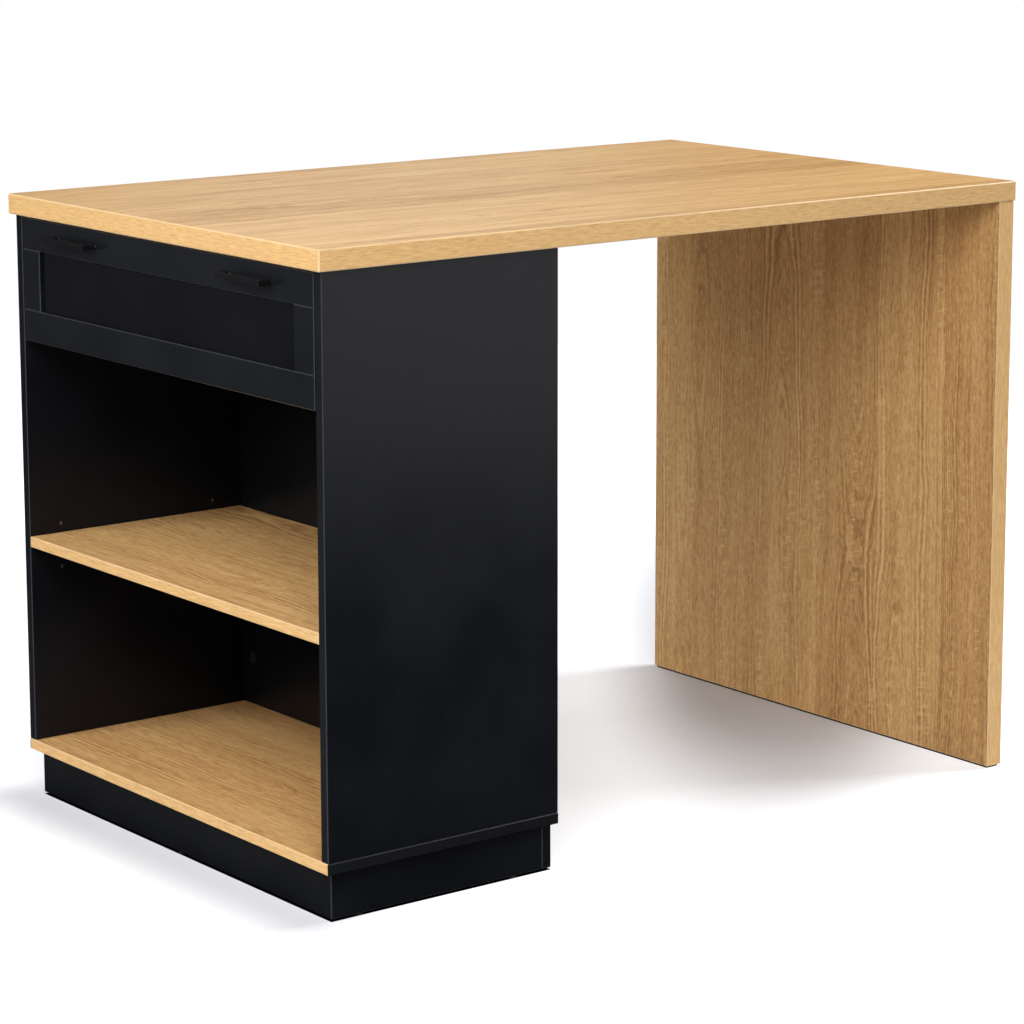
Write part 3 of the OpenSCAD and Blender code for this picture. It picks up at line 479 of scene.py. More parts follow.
# an edge strip: how often its fibres change in a metre, its tone, and what fibres and figure add to that
STRIP_PACES = (50.0, 600.0, 600.0)
STRIP_TONE, STRIP_FIBRE, STRIP_FIGURE = 0.18, 0.8, 0.15
BLACK_BAND, BLACK_BAND_REACH = (0.0045, 0.0050, 0.0070, 1), 2.2 * MM
OAK_BOARDS = {
    # piece: (which way the grain runs, seed, fibres to a metre, painted shade: how much darker its face is,
    # lighter below zero)
    "worktop": (GRAIN_ALONG_X, 0.31, 10, 0.0),
    "leg_panel": (GRAIN_ALONG_Z, 5.10, 90, 0.055),
    "middle_shelf": (GRAIN_ALONG_Y, 2.44, 34, 0.01),
    "bottom_panel": (GRAIN_ALONG_Y, 3.62, 34, -0.03),
}


def oak_material(node, rotation, seed, fibre_pace, darker):
    material, wires, surface, coordinates = new_material("oak_" + node)
    m = wires.maths
    axes, core = grain_of(wires, coordinates, node, rotation), core_of(wires, coordinates, node)
    oak = wires.group(OAK_PRINT, Grain=axes["Grain"], Seed=seed, Fibre_Pace=fibre_pace)
    # painted shade: the face is made darker by the board's darker value, or lighter where that is below zero
    on_face = wires.waver(m("SUBTRACT", oak["Figure"], darker), oak["Fibre"], FACE_FIBRE)
    strip = wires.noise(wires.vector_maths("MULTIPLY", axes["Grain"], STRIP_PACES), detail=3.0, roughness=0.7)
    on_band = wires.waver(m("MULTIPLY_ADD", strip, STRIP_FIBRE, STRIP_TONE), oak["Figure"], STRIP_FIGURE)
    tone = wires.node("ShaderNodeMix", {0: axes["Band"], 2: on_face, 3: on_band}).outputs[0]
    fleck = m("MULTIPLY", m("MULTIPLY", oak["Fleck"], FLECK_WEIGHT), m("SUBTRACT", 1.0, axes["Band"]))
    colour = wires.mix(fleck, wires.ramp(tone, *OAK_TONES), OAK_PALE)
    # a painted highlight on the chamfers along the edges
    colour = wires.mix(m("MULTIPLY", core["Arris"], ARRIS_HIGHLIGHT_WEIGHT), colour, OAK_ARRIS_HIGHLIGHT)
    if node == "bottom_panel":
        from_middle = m("ABSOLUTE", wires.split(coordinates["Object"])[1])
        at_side = m("GREATER_THAN", from_middle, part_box(node)[1].y - BLACK_BAND_REACH)
        colour = wires.mix(at_side, colour, BLACK_BAND)
    colour, height = with_chipboard(wires, coordinates, core, colour, oak["Fibre"])
    cover(wires, surface, colour, oak["Fibre"], height, OAK_FINISH)
    return material


for board, values in OAK_BOARDS.items():
    wear(oak_material(board, *values), board)
print("oak on", *OAK_BOARDS)

# %% [markdown]
# ## Black boards
#
# The cabinet is laminated in a black that isn't quite flat. Its sheet has a fine pearl embossing which
# scatters the light into a soft speckle, so the colour wavers between near black and a cold dark grey. The
# same group serves the boards, the plastic parts and the coated handles, with another grain size each.
#
# The boards differ a little. The walls that are seen from inside the cabinet mirror less than the outer ones,
# and the field panel in the drawer front is darker than its frame. The corners of the plinth are cut so tight
# that no light catches between the boards, so a mask leaves the arrises on its front face unlit.

# %% Build the pearl group and paint the black boards
CLOUDS_A_METRE = 9.0
PEARL_SIZE, CLOUD_WEIGHT = 1.5 * MM, 0.35
BLACK_TONES = ((0.30, (0.0025, 0.0029, 0.0043)), (0.52, (0.0042, 0.0049, 0.0072)),
               (0.72, (0.0075, 0.0086, 0.0123)))
BLACK_LIT, LIT_WEIGHT = (0.040, 0.043, 0.053, 1), 0.8
SEAM_REACH = 3 * MM
BLACK_BOARDS = {
    # (share of the tones' brightness, shine): the boards that have them
    (1.0, 0.5): ("side_panel_right", "plinth_front", "plinth_rear", "plinth_right", "plinth_left",
                 "drawer_top_rail", "drawer_bottom_rail", "drawer_stile_right", "drawer_stile_left"),
    (1.0, 0.2): ("side_panel_left", "back_panel"),
    (0.45, 0.35): ("drawer_field_panel",),
}


def pearl():
    wires, given, made = empty_tree(
        SHADER_TREE, "pearl", {"Position": VECTOR, "Size": FLOAT}, {"Speckle": FLOAT, "Cloud": FLOAT})
    scale = wires.maths("DIVIDE", 1.0, given["Size"])
    wires.feed(made["Speckle"], wires.noise(given["Position"], scale=scale, detail=2.0, roughness=0.6))
    wires.feed(made["Cloud"], wires.noise(given["Position"], scale=CLOUDS_A_METRE, detail=3.0))
    return wires.tree


PEARL = pearl()


def tight_seam(wires, coordinates):
    """1 on the plinth's front face inside its two corners, where three boards meet without a gap."""
    front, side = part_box("plinth_front")[0].x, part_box("plinth_rear")[1].y
    x, y, _ = wires.split(coordinates["Object"])
    at_front = wires.maths("LESS_THAN", x, front + SEAM_REACH)
    inside = wires.maths("LESS_THAN", wires.maths("ABSOLUTE", y), side - SEAM_REACH)
    return wires.maths("MULTIPLY", at_front, inside)


def black_material(node, share, shine):
    material, wires, surface, coordinates = new_material("black_" + node)
    m, core = wires.maths, core_of(wires, coordinates, node)
    grain = wires.group(PEARL, Position=coordinates["Object"], Size=PEARL_SIZE)
    tone = wires.waver(grain["Speckle"], grain["Cloud"], CLOUD_WEIGHT)
    colour = wires.ramp(tone, *[(place, [share * c for c in colour]) for place, colour in BLACK_TONES])
    lit = m("MULTIPLY", core["Arris"], LIT_WEIGHT)
    if node.startswith("plinth"):
        lit = m("MULTIPLY", lit, m("SUBTRACT", 1.0, tight_seam(wires, coordinates)))
    colour = wires.mix(lit, colour, BLACK_LIT)
    colour, height = with_chipboard(wires, coordinates, core, colour, grain["Speckle"])
    cover(wires, surface, colour, grain["Cloud"], height, Finish(0.29, 0.35, 0.1 * MM, 0.3, shine))
    return material


for (share, shine), boards in BLACK_BOARDS.items():
    for board in boards:
        wear(black_material(board, share, shine), board)
print("black on", sum(len(boards) for boards in BLACK_BOARDS.values()), "boards")

# %% [markdown]
# ## Inside the drawer
#
# The drawer box is made of thinner boards in a pale grey foil, with a hardboard bottom. Foil is smooth and
# has a faint linen mark, so one noise is enough, squeezed in height until it runs in thin level threads.

# %% Paint the drawer box
FOIL_TONES = ((0.35, (0.56, 0.54, 0.49)), (0.65, (0.66, 0.64, 0.59)))
FOIL_PACES = (120.0, 120.0, 900.0)
FOIL_FINISH = Finish(0.42, 0.52, 0.05 * MM, 0.3, 0.4)
FOIL_BOARDS = ("drawer_side_right", "drawer_side_left", "drawer_back", "drawer_bottom")


def foil_material(node):
    material, wires, surface, coordinates = new_material("foil_" + node)
    threads = wires.noise(wires.vector_maths("MULTIPLY", coordinates["Object"], FOIL_PACES), detail=1.0)
    colour, height = with_chipboard(wires, coordinates, core_of(wires, coordinates, node),
                                    wires.ramp(threads, *FOIL_TONES), threads)
    cover(wires, surface, colour, threads, height, FOIL_FINISH)
    return material


for board in FOIL_BOARDS:
    wear(foil_material(board), board)
print("foil on", *FOIL_BOARDS)

# %% [markdown]
# ## Metal
#
# Two metals are left bare. Screws, brackets and shelf pins are steel under a thin coat of zinc, which is
# bright with a cloudy bloom. The cam discs are cast zinc, duller and finely pitted. One function covers both,
# because they differ only in their tones and in how rough they are.

# %% Make the metals
MARKS_A_METRE, BLOOMS_A_METRE = 1400.0, 160.0
MARKS_WEIGHT = 0.6


def metal_material(name, dark, bright, rough):
    material, wires, surface, coordinates = new_material(name)
    marks = wires.noise(coordinates["Object"], scale=MARKS_A_METRE, detail=3.0, roughness=0.6)
    bloom = wires.noise(coordinates["Object"], scale=BLOOMS_A_METRE, detail=2.0)
    tone = wires.waver(bloom, marks, MARKS_WEIGHT)
    colour = wires.ramp(tone, (NOISE_LOW, dark), (NOISE_HIGH, bright))
    cover(wires, surface, colour, tone, marks, Finish(rough + 0.1, rough - 0.06, 0.03 * MM, 0.4, 0.5))
    surface["Metallic"].default_value = 1.0
    return material


ZINC_PLATE = metal_material("zinc_plate", (0.42, 0.43, 0.45), (0.68, 0.69, 0.70), 0.34)
CAST_ZINC = metal_material("cast_zinc", (0.34, 0.34, 0.35), (0.52, 0.52, 0.53), 0.48)
wear(ZINC_PLATE, "shelf_supports", "corner_brackets", "cam_bolts", "drawer_cam_bolts", "front_axle_pins",
     "rear_axle_pins")
wear(CAST_ZINC, "cam_discs", "drawer_cam_discs")
print("metals:", ZINC_PLATE.name, CAST_ZINC.name)

# %% [markdown]
# ## Plastic, coating and beech
#
# The rollers are white nylon, slightly see-through at the rim and polished where they run. Caps, glides and
# the strip under the leg panel are moulded plastic with a spark-eroded grain. The runners are steel under a
# baked white epoxy coat, and the handles wear a black powder coat. Both level out like a very fine orange
# peel. The dowels are turned beech, with short brown ticks along the grain.

# %% Make the plastics, the coating and the beech
BEECH_PACES = (900.0, 900.0, 90.0)
BEECH_TONES = ((0.3, (0.42, 0.26, 0.13)), (0.5, (0.58, 0.40, 0.23)), (0.8, (0.66, 0.48, 0.30)))
BEECH_FINISH = Finish(0.7, 0.6, 0.1 * MM, 0.4, 0.5)


def moulded_material(name, dark, bright, rough, grain_size, depth=0.05 * MM, shine=0.4, haze=0.0):
    material, wires, surface, coordinates = new_material(name)
    grain = wires.group(PEARL, Position=coordinates["Object"], Size=grain_size)
    colour = wires.ramp(grain["Speckle"], (NOISE_LOW, dark), (NOISE_HIGH, bright))
    cover(wires, surface, colour, grain["Cloud"], grain["Speckle"],
          Finish(rough - 0.05, rough + 0.05, depth, 0.5, shine))
    surface["Subsurface Weight"].default_value = haze
    surface["Subsurface Scale"].default_value = 1.0 * MM
    return material


def beech_material():
    material, wires, surface, coordinates = new_material("beech")
    ticks = wires.noise(wires.vector_maths("MULTIPLY", coordinates["Object"], BEECH_PACES), detail=2.0)
    cover(wires, surface, wires.ramp(ticks, *BEECH_TONES), ticks, ticks, BEECH_FINISH)
    return material


NYLON = moulded_material("nylon", (0.66, 0.66, 0.63), (0.76, 0.76, 0.73), 0.34, 2.0 * MM, haze=0.3)
BLACK_PLASTIC = moulded_material("black_plastic", (0.009, 0.009, 0.010), (0.018, 0.018, 0.020), 0.5, 0.5 * MM)
TAN_PLASTIC = moulded_material("tan_plastic", (0.46, 0.30, 0.15), (0.54, 0.36, 0.18), 0.5, 0.5 * MM)
EPOXY_COAT = moulded_material("epoxy_coat", (0.68, 0.68, 0.65), (0.74, 0.74, 0.71), 0.36, 0.7 * MM,
                              depth=0.03 * MM)
POWDER_COAT = moulded_material("powder_coat", (0.0020, 0.0022, 0.0030), (0.0050, 0.0053, 0.0068), 0.38,
                               0.7 * MM, shine=0.3)
BEECH = beech_material()
wear(NYLON, "front_roller_right", "front_roller_left", "rear_roller_right", "rear_roller_left")
wear(EPOXY_COAT, "cabinet_runner_right", "cabinet_runner_left", "drawer_runner_right", "drawer_runner_left")
wear(BLACK_PLASTIC, "leg_floor_strip", "plinth_glides", "cam_caps_black")
wear(TAN_PLASTIC, "cam_caps_oak")
print("plastics:", NYLON.name, BLACK_PLASTIC.name, TAN_PLASTIC.name)
print("coats:", EPOXY_COAT.name, POWDER_COAT.name, "and wood:", BEECH.name)

# %% [markdown]
# ## Handles
#
# Each handle is a flat bar with a square leg at either end, in one piece. Its edges are rounded by less than
# a millimetre, and that rounding is all that shows of a black handle on a black drawer, because it is what
# catches the light. So the outline is drawn once, extruded to the handle's height, and finished with a Bevel
# modifier.

# %% Make the handles
HANDLE_ROUND = 0.9 * MM
HANDLE_BAR = 7 * MM
HANDLE_LEG = 8 * MM


def plain_mesh(obj, name):
    """Turns an object and its live modifiers into a plain mesh object at the origin."""
    scene.collection.objects.link(obj)
    evaluated = obj.evaluated_get(bpy.context.evaluated_depsgraph_get())
    piece = bpy.data.objects.new(name, bpy.data.meshes.new_from_object(evaluated))
    piece.data.name = name
    scene.collection.objects.link(piece)
    bpy.data.objects.remove(obj)
    return piece


def bar_handle(name, node):
    low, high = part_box(node)
    outline = [(low.x, low.y), (high.x, low.y), (high.x, low.y + HANDLE_LEG),
               (low.x + HANDLE_BAR, low.y + HANDLE_LEG), (low.x + HANDLE_BAR, high.y - HANDLE_LEG),
               (high.x, high.y - HANDLE_LEG), (high.x, high.y), (low.x, high.y)]
    mesh = bpy.data.meshes.new(name)
    form = bmesh.new()
    base = form.faces.new([form.verts.new((x, y, low.z)) for x, y in outline])
    grown = bmesh.ops.extrude_face_region(form, geom=[base])
    top = [item for item in grown["geom"] if isinstance(item, bmesh.types.BMVert)]
    bmesh.ops.translate(form, verts=top, vec=(0, 0, high.z - low.z))
    bmesh.ops.recalc_face_normals(form, faces=form.faces)
    form.to_mesh(mesh)
    form.free()
    rough = bpy.data.objects.new(name + "_rough", mesh)
    rounding = rough.modifiers.new("rounding", "BEVEL")
    rounding.width = HANDLE_ROUND
    rounding.segments = 3
    rounding.limit_method = "ANGLE"
    piece = plain_mesh(rough, name)
    piece.data.materials.append(POWDER_COAT)
    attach(piece, "drawer")
    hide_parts(node)
    print(name, "has", len(piece.data.polygons), "faces")


for side in ("right", "left"):
    bar_handle("bar_handle_" + side, "handle_" + side)

# %% [markdown]
# ## Measuring the fasteners
#
# Some fifty screws and fourteen dowels hold the unit together. In the finished model each is a plain turned
# shape at its real place and size, so both can be read off it. Every fastener is an island of joined faces in
# its piece's mesh. Its longest side is its axis, its widest ring is the head, and its narrowest ring is the
# shank. A dowel has no head, so only its ends and its widest ring count.

# %% Read the fasteners off the model
TOUCHING = 0.001 * MM
FLUSH = 0.1 * MM
# shares of a radius: where the head counts as widest, what lies on the axis, and what is still the shank
ALMOST_WIDEST, ON_AXIS, ALMOST_NARROWEST = 0.98, 0.3, 1.02
Fastener = namedtuple("Fastener", "place aim length head_radius head_height shank_radius countersunk")


def islands(mesh):
    """The corners of each separate solid in a mesh."""
    form = bmesh.new()
    form.from_mesh(mesh)
    bmesh.ops.remove_doubles(form, verts=form.verts, dist=TOUCHING)
    found, seen = [], set()
    for start in form.verts:
        if start in seen:
            continue
        seen.add(start)
        island = [start]
        for vertex in island:
            neighbours = {edge.other_vert(vertex) for edge in vertex.link_edges} - seen
            seen |= neighbours
            island.extend(neighbours)
        found.append([vertex.co.copy() for vertex in island])
    form.free()
    return found


def measure(corners):
    """Where a fastener sits, which way it points and how large its head and shank are."""
    low, high = [Vector(map(pick, zip(*corners))) for pick in (min, max)]
    middle, sides = (low + high) / 2, high - low
    axis = max(range(3), key=lambda side: sides[side])
    rings = []
    for corner in corners:
        offset = corner - middle
        along, offset[axis] = offset[axis], 0
        rings.append((along, offset.length))
    head_radius = max(radius for _, radius in rings)
    wide, thin = ALMOST_WIDEST * head_radius, ON_AXIS * head_radius
    aim = Vector((0, 0, 0))
    aim[axis] = -1 if sum(along for along, radius in rings if radius > wide) > 0 else 1
    from_head = [(aim[axis] * along + sides[axis] / 2, radius) for along, radius in rings]
    shank_radius = min(radius for _, radius in from_head if radius > thin)
    head_height = min(depth for depth, radius in from_head if thin < radius < ALMOST_NARROWEST * shank_radius)
    countersunk = min(depth for depth, radius in from_head if radius > wide) < FLUSH
    return Fastener(middle - aim * sides[axis] / 2, aim, sides[axis], head_radius, head_height, shank_radius,
                    countersunk)


def kinds(fasteners):
    """Fasteners of one size each, because each size is grown once and then copied to its places."""
    groups = {}
    for one in fasteners:
        size = [round(value / MM, 1) for value in one[2:6]]
        groups.setdefault(tuple(size), []).append(one)
    return list(groups.values())


SCREW_NODES = ("base_screws", "floor_strip_screws", "bracket_screws", "cabinet_runner_screws",
               "drawer_runner_screws", "drawer_box_screws", "handle_screws")
SCREWS = {node: [measure(corners) for corners in islands(nodes[node].data)] for node in SCREW_NODES}
DOWELS = [measure(corners) for corners in islands(nodes["wooden_dowels"].data)]
for node, screws in SCREWS.items():
    for kind in kinds(screws):
        one = kind[0]
        print(f"{node}: {len(kind)} of {one.length / MM:.0f} mm, head {2 * one.head_radius / MM:.1f} mm")
print("dowels:", len(DOWELS))

# %% [markdown]
# ## Growing a screw
#
# A screw is made the way a machine makes it, from a plain blank. The shank starts as a cylinder with many
# rings of points. A helix is a place where the turn around the axis and the height along it rise together, so
# each point asks how far it is from the nearest helix, and moves inwards the farther it is. That leaves the
# thread standing. Towards the tip everything shrinks to a point. The head is a cone, or a drum with a domed
# top, and two crossed blocks are cut out of it for the driver. Geometry Nodes suit this because one tree with
# a few named sizes makes all seven kinds. The tree then sets a copy on every point it is given, turned to the
# point's `aim` and given a random twist, because nobody lines up the crosses.

# %% Build the screw tree
WHOLE, MATERIAL, SHAPE = "NodeSocketInt", "NodeSocketMaterial", "NodeSocketGeometry"
SHARP = math.radians(30)


def shape_tree(name, inputs):
    """An empty Geometry Nodes tree that takes a shape and named inputs, and gives a shape."""
    return empty_tree(SHAPE_TREE, name, {"Geometry": SHAPE, **inputs}, {"Geometry": SHAPE})


def moved(wires, shape, position):
    return wires.node("GeometryNodeSetPosition", {"Geometry": shape, "Position": position}).outputs[0]


def shaded(wires, shape):
    """Smooth faces with their sharp edges kept."""
    smooth = wires.node("GeometryNodeSetShadeSmooth", {0: shape}, domain="FACE").outputs[0]
    bend = wires.node("GeometryNodeInputMeshEdgeAngle").outputs[0]
    sharp = wires.node("FunctionNodeCompare", {0: bend, 1: SHARP}, operation="GREATER_THAN").outputs[0]
    return wires.node("GeometryNodeSetShadeSmooth", {
        0: smooth, "Selection": sharp, "Shade Smooth": False}, domain="EDGE").outputs[0]


def copied_to_points(wires, given, shape):
    """Sets the shape on every point, along its aim, twisted at random, as real faces with a material."""
    aim = wires.node("GeometryNodeInputNamedAttribute", {"Name": "aim"}, data_type="FLOAT_VECTOR").outputs[0]
    along = wires.node("FunctionNodeAlignRotationToVector", {"Vector": aim}, axis="Z").outputs[0]
    angle = wires.node("FunctionNodeRandomValue", {2: 0.0, 3: math.tau, "Seed": given["Seed"]},
                       data_type="FLOAT").outputs[1]
    twist = wires.node("FunctionNodeAxisAngleToRotation", {"Axis": (0, 0, 1), "Angle": angle}).outputs[0]
    turned = wires.node("FunctionNodeRotateRotation", {0: along, 1: twist}, rotation_space="LOCAL").outputs[0]
    copies = wires.node("GeometryNodeInstanceOnPoints",
                        {"Points": given["Geometry"], "Instance": shape, "Rotation": turned}).outputs[0]
    real = wires.node("GeometryNodeRealizeInstances", {0: copies}).outputs[0]
    return wires.node("GeometryNodeSetMaterial", {"Geometry": real, "Material": given["Material"]}).outputs[0]


RINGS_A_TURN = 6
HEAD_SIDES, SHANK_SIDES = 32, 18
# shares of the head's or the shank's own size
THREAD_DEPTH = 0.26
NECK = 0.6
DOME = 0.4
SLOT_LONG, SLOT_NARROW, SLOT_DEEP = 1.15, 0.24, 1.1
TIP, TAPER = 0.08, 2.0


def screw_tree():
    wires, given, made = shape_tree("screw", {
        "Head Radius": FLOAT, "Head Height": FLOAT, "Shank Radius": FLOAT, "Length": FLOAT, "Pitch": FLOAT,
        "Countersunk": "NodeSocketBool", "Material": MATERIAL, "Seed": WHOLE})
    m = wires.maths
    head_radius, head_height = given["Head Radius"], given["Head Height"]
    shank_radius, length = given["Shank Radius"], given["Length"]
    x, y, z = wires.split(wires.node("GeometryNodeInputPosition").outputs[0])
    off_axis = m("SQRT", m("ADD", m("MULTIPLY", x, x), m("MULTIPLY", y, y)))

    cone = wires.node("GeometryNodeMeshCone", {
        "Vertices": HEAD_SIDES, "Radius Top": shank_radius, "Radius Bottom": head_radius,
        "Depth": head_height}).outputs[0]
    drum = wires.node("GeometryNodeMeshCylinder", {
        "Vertices": HEAD_SIDES, "Fill Segments": 4, "Radius": head_radius, "Depth": head_height},
        fill_type="NGON").outputs[0]
    edge = m("DIVIDE", off_axis, head_radius)
    sunk_rim = m("MULTIPLY", m("MULTIPLY", edge, edge), DOME)
    top = m("SUBTRACT", 0.5, m("DIVIDE", z, head_height))
    domed = m("MULTIPLY_ADD", m("MULTIPLY", sunk_rim, top), head_height,
              m("MULTIPLY_ADD", head_height, 0.5, z))
    pan = moved(wires, drum, wires.join(x, y, domed))
    head = wires.node("GeometryNodeSwitch", {0: given["Countersunk"], 1: pan, 2: cone},
                      input_type="GEOMETRY").outputs[0]
    long, narrow = m("MULTIPLY", head_radius, SLOT_LONG), m("MULTIPLY", head_radius, SLOT_NARROW)
    deep = m("MULTIPLY", head_height, SLOT_DEEP)
    cut = wires.node("GeometryNodeMeshBoolean", {"Mesh 1": head}, operation="DIFFERENCE", solver="EXACT")
    for size in ((long, narrow, deep), (narrow, long, deep)):
        slot = wires.node("GeometryNodeMeshCube", {"Size": wires.join(*size)}).outputs[0]
        wires.tree.links.new(slot, cut.inputs["Mesh 2"])

    first = m("MULTIPLY", head_height, NECK)
    shank_length = m("SUBTRACT", length, first)
    rings = m("MULTIPLY", m("DIVIDE", shank_length, given["Pitch"]), RINGS_A_TURN)
    blank = wires.node("GeometryNodeMeshCylinder", {
        "Vertices": SHANK_SIDES, "Side Segments": rings, "Radius": shank_radius,
        "Depth": shank_length}).outputs[0]
    height = m("ADD", m("MULTIPLY_ADD", shank_length, 0.5, z), first)
    turn = m("DIVIDE", m("ARCTAN2", y, x), math.tau)
    climb = m("FRACT", m("SUBTRACT", m("DIVIDE", height, given["Pitch"]), turn))
    valley = m("ABSOLUTE", m("MULTIPLY_ADD", climb, 2.0, -1.0))
    threaded = m("MULTIPLY_ADD", valley, -THREAD_DEPTH, 1.0)
    to_tip = m("DIVIDE", m("SUBTRACT", length, height), m("MULTIPLY", shank_radius, TAPER))
    size = m("MULTIPLY", threaded, m("MINIMUM", m("MAXIMUM", to_tip, TIP), 1.0))
    shank = moved(wires, blank, wires.join(m("MULTIPLY", x, size), m("MULTIPLY", y, size), height))

    parts = wires.node("GeometryNodeJoinGeometry")
    for part in (shank, cut.outputs[0]):
        wires.tree.links.new(part, parts.inputs[0])
    wires.feed(made[0], copied_to_points(wires, given, shaded(wires, parts.outputs[0])))
    return wires.tree


SCREW_TREE = screw_tree()
print("tree", SCREW_TREE.name, "with", len(SCREW_TREE.nodes), "nodes")

# %% [markdown]
# The tree needs points to stand on. A helper makes a mesh of bare points that carry the `aim`, gives it the
# tree as a modifier, sets the tree's inputs, and keeps the result as a plain mesh. All kinds that belong to
# one piece of the model are joined, and stand in for that piece.

# %% Grow the screws
PITCH_TO_RADIUS = 0.75


def grow(name, tree, fasteners, **values):
    """The mesh that a tree grows on the fasteners' places."""
    mesh = bpy.data.meshes.new(name + "_points")
    mesh.from_pydata([one.place for one in fasteners], [], [])
    aims = mesh.attributes.new("aim", "FLOAT_VECTOR", "POINT")
    for item, one in zip(aims.data, fasteners):
        item.vector = one.aim
    points = bpy.data.objects.new(name + "_points", mesh)
    modifier = points.modifiers.new("grow", "NODES")
    modifier.node_group = tree
    for socket in tree.interface.items_tree:
        key = socket.name.replace(" ", "_").lower()
        if socket.in_out == "INPUT" and key in values:
            modifier[socket.identifier] = values[key]
    return plain_mesh(points, name)


def joined(pieces, name):
    """Several plain pieces as one, with the first one's material."""
    form = bmesh.new()
    for piece in pieces:
        form.from_mesh(piece.data)
    first, *others = pieces
    form.to_mesh(first.data)
    form.free()
    for other in others:
        bpy.data.objects.remove(other)
    first.name = first.data.name = name
    return first


def stand_in(piece, node):
    """Puts a grown piece on its node's body in place of the node."""
    body = next(body for body, held in bodies.items() if node in held)
    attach(piece, body)
    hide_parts(node)
    print(piece.name, "on", body, "has", len(piece.data.polygons), "faces")


bodies = frame["record"]["behaviour"]["bodies"]
for seed, (node, screws) in enumerate(SCREWS.items()):
    pieces = []
    for kind in kinds(screws):
        one = kind[0]
        pieces.append(grow(node, SCREW_TREE, kind, head_radius=one.head_radius, head_height=one.head_height,
                           shank_radius=one.shank_radius, length=one.length,
                           pitch=PITCH_TO_RADIUS * one.shank_radius, countersunk=one.countersunk,
                           material=ZINC_PLATE, seed=seed))
    stand_in(joined(pieces, "threaded_" + node), node)

# %% [markdown]
# ## Growing the dowels
#
# A dowel has flutes along its sides, so that the glue and the air can get out of the hole, and its ends are
# chamfered to find the hole. In the tree, a cylinder's points take turns: one stays out, the next moves in.
# Towards either end they all move in.

# %% Build the dowel tree and grow the dowels
FLUTES, POINTS_A_FLUTE = 20, 4.0
FLUTE_DEPTH = 0.35 * MM
DOWEL_CHAMFER = 1.0 * MM
DOWEL_RINGS = 30


def dowel_tree():
    wires, given, made = shape_tree("fluted_dowel", {
        "Radius": FLOAT, "Length": FLOAT, "Flutes": WHOLE, "Flute Depth": FLOAT, "Chamfer": FLOAT,
        "Material": MATERIAL, "Seed": WHOLE})
    m = wires.maths
    blank = wires.node("GeometryNodeMeshCylinder", {
        "Vertices": m("MULTIPLY", given["Flutes"], POINTS_A_FLUTE), "Side Segments": DOWEL_RINGS,
        "Radius": given["Radius"], "Depth": given["Length"]}).outputs[0]
    x, y, z = wires.split(wires.node("GeometryNodeInputPosition").outputs[0])
    wave = m("COSINE", m("MULTIPLY", m("ARCTAN2", y, x), given["Flutes"]))
    groove = m("MULTIPLY", m("MULTIPLY_ADD", wave, -0.5, 0.5), given["Flute Depth"])
    from_end = m("SUBTRACT", m("MULTIPLY", given["Length"], 0.5), m("ABSOLUTE", z))
    bevel = m("MAXIMUM", m("SUBTRACT", given["Chamfer"], from_end), 0.0)
    size = m("SUBTRACT", 1.0, m("DIVIDE", m("MAXIMUM", groove, bevel), given["Radius"]))
    height = m("MULTIPLY_ADD", given["Length"], 0.5, z)
    dowel = moved(wires, blank, wires.join(m("MULTIPLY", x, size), m("MULTIPLY", y, size), height))
    wires.feed(made[0], copied_to_points(wires, given, shaded(wires, dowel)))
    return wires.tree


DOWEL_TREE = dowel_tree()
dowels = grow("fluted_dowels", DOWEL_TREE, DOWELS, radius=DOWELS[0].head_radius, length=DOWELS[0].length,
              flutes=FLUTES, flute_depth=FLUTE_DEPTH, chamfer=DOWEL_CHAMFER, material=BEECH, seed=4)
stand_in(dowels, "wooden_dowels")

# %% [markdown]
# ## The floor and the light
#
# The unit stands on a pale seamless floor in front of white. Both have to come out as pure white where
# nothing shades them, so that only the soft shadow tells where the floor is. A plain disc is enough for that.
# Towards its rim it glows, as a studio sweep does under its own lamps, so its edge melts into the white
# behind it. Nearer by, a painted glow lifts it to white as well, apart from two places that keep their shade:
# a long oval inside the leg panel, and a narrow strip along the front of the plinth. Right under the plinth it
# is painted black as shadow, so that the low gap of the glides shows as a dark line.
#
# The Light Path node tells the floor who is looking. For the light that bounces on to the unit, the floor is
# bright near by and darker far off, which is why the leg panel gets lighter towards the floor. Black boards
# mirror their surroundings more than they show their own colour. So the floor shows itself almost black in
# reflections, which is what black cards do in a studio, and only a little lighter to the left of the cabinet,
# for the front of the plinth.

# %% Lay the floor
FLOOR_RADIUS, FLOOR_SIDES = 4.0, 96
FLOOR_DROP = 0.2 * MM
FLOOR_SEEN, MOTTLE_DIM, MOTTLES_A_METRE = (0.67, 0.68, 0.72), 0.985, 3.0
# the floor for bounced light: its two colours, the distances between which they change, and its own glow
FLOOR_NEAR, FLOOR_FAR = (0.86, 0.885, 0.93, 1), (0.48, 0.50, 0.54, 1)
NEAR_TO, FAR_FROM = 0.8, 2.0
FLOOR_ONTO_UNIT = 0.24
FLOOR_ROUGH = 0.9
# how bright the floor is in reflections, and the places along X between which it changes
GLOSS_LEFT, GLOSS_ELSEWHERE = 0.14, 0.005
GLOSS_LEFT_TO, GLOSS_ELSEWHERE_FROM = -0.75, -0.55
# the glow of the rim, the lift nearer by, and the oval and the strip that keep their shade
GLOW_FROM, GLOW_TO = 1.2, 2.2
LIFT = 0.56
SHADE_PLACE = (0.90, 0.46, 0.0)
SHADE_TURN = (0.0, 0.0, -0.715)
SHADE_SIZE = (0.325, 1.373, 1.0)
SHADE_CORE = 0.43
FRONT_X, FRONT_HALF_WIDTH = -0.60, 0.36
FRONT_REACH, FRONT_LIFT = 0.12, 0.15
PLINTH_SHADOW = 1 * MM
PAINTED_SHADOW_BLACK, WHITE = (0, 0, 0, 1), (1, 1, 1, 1)


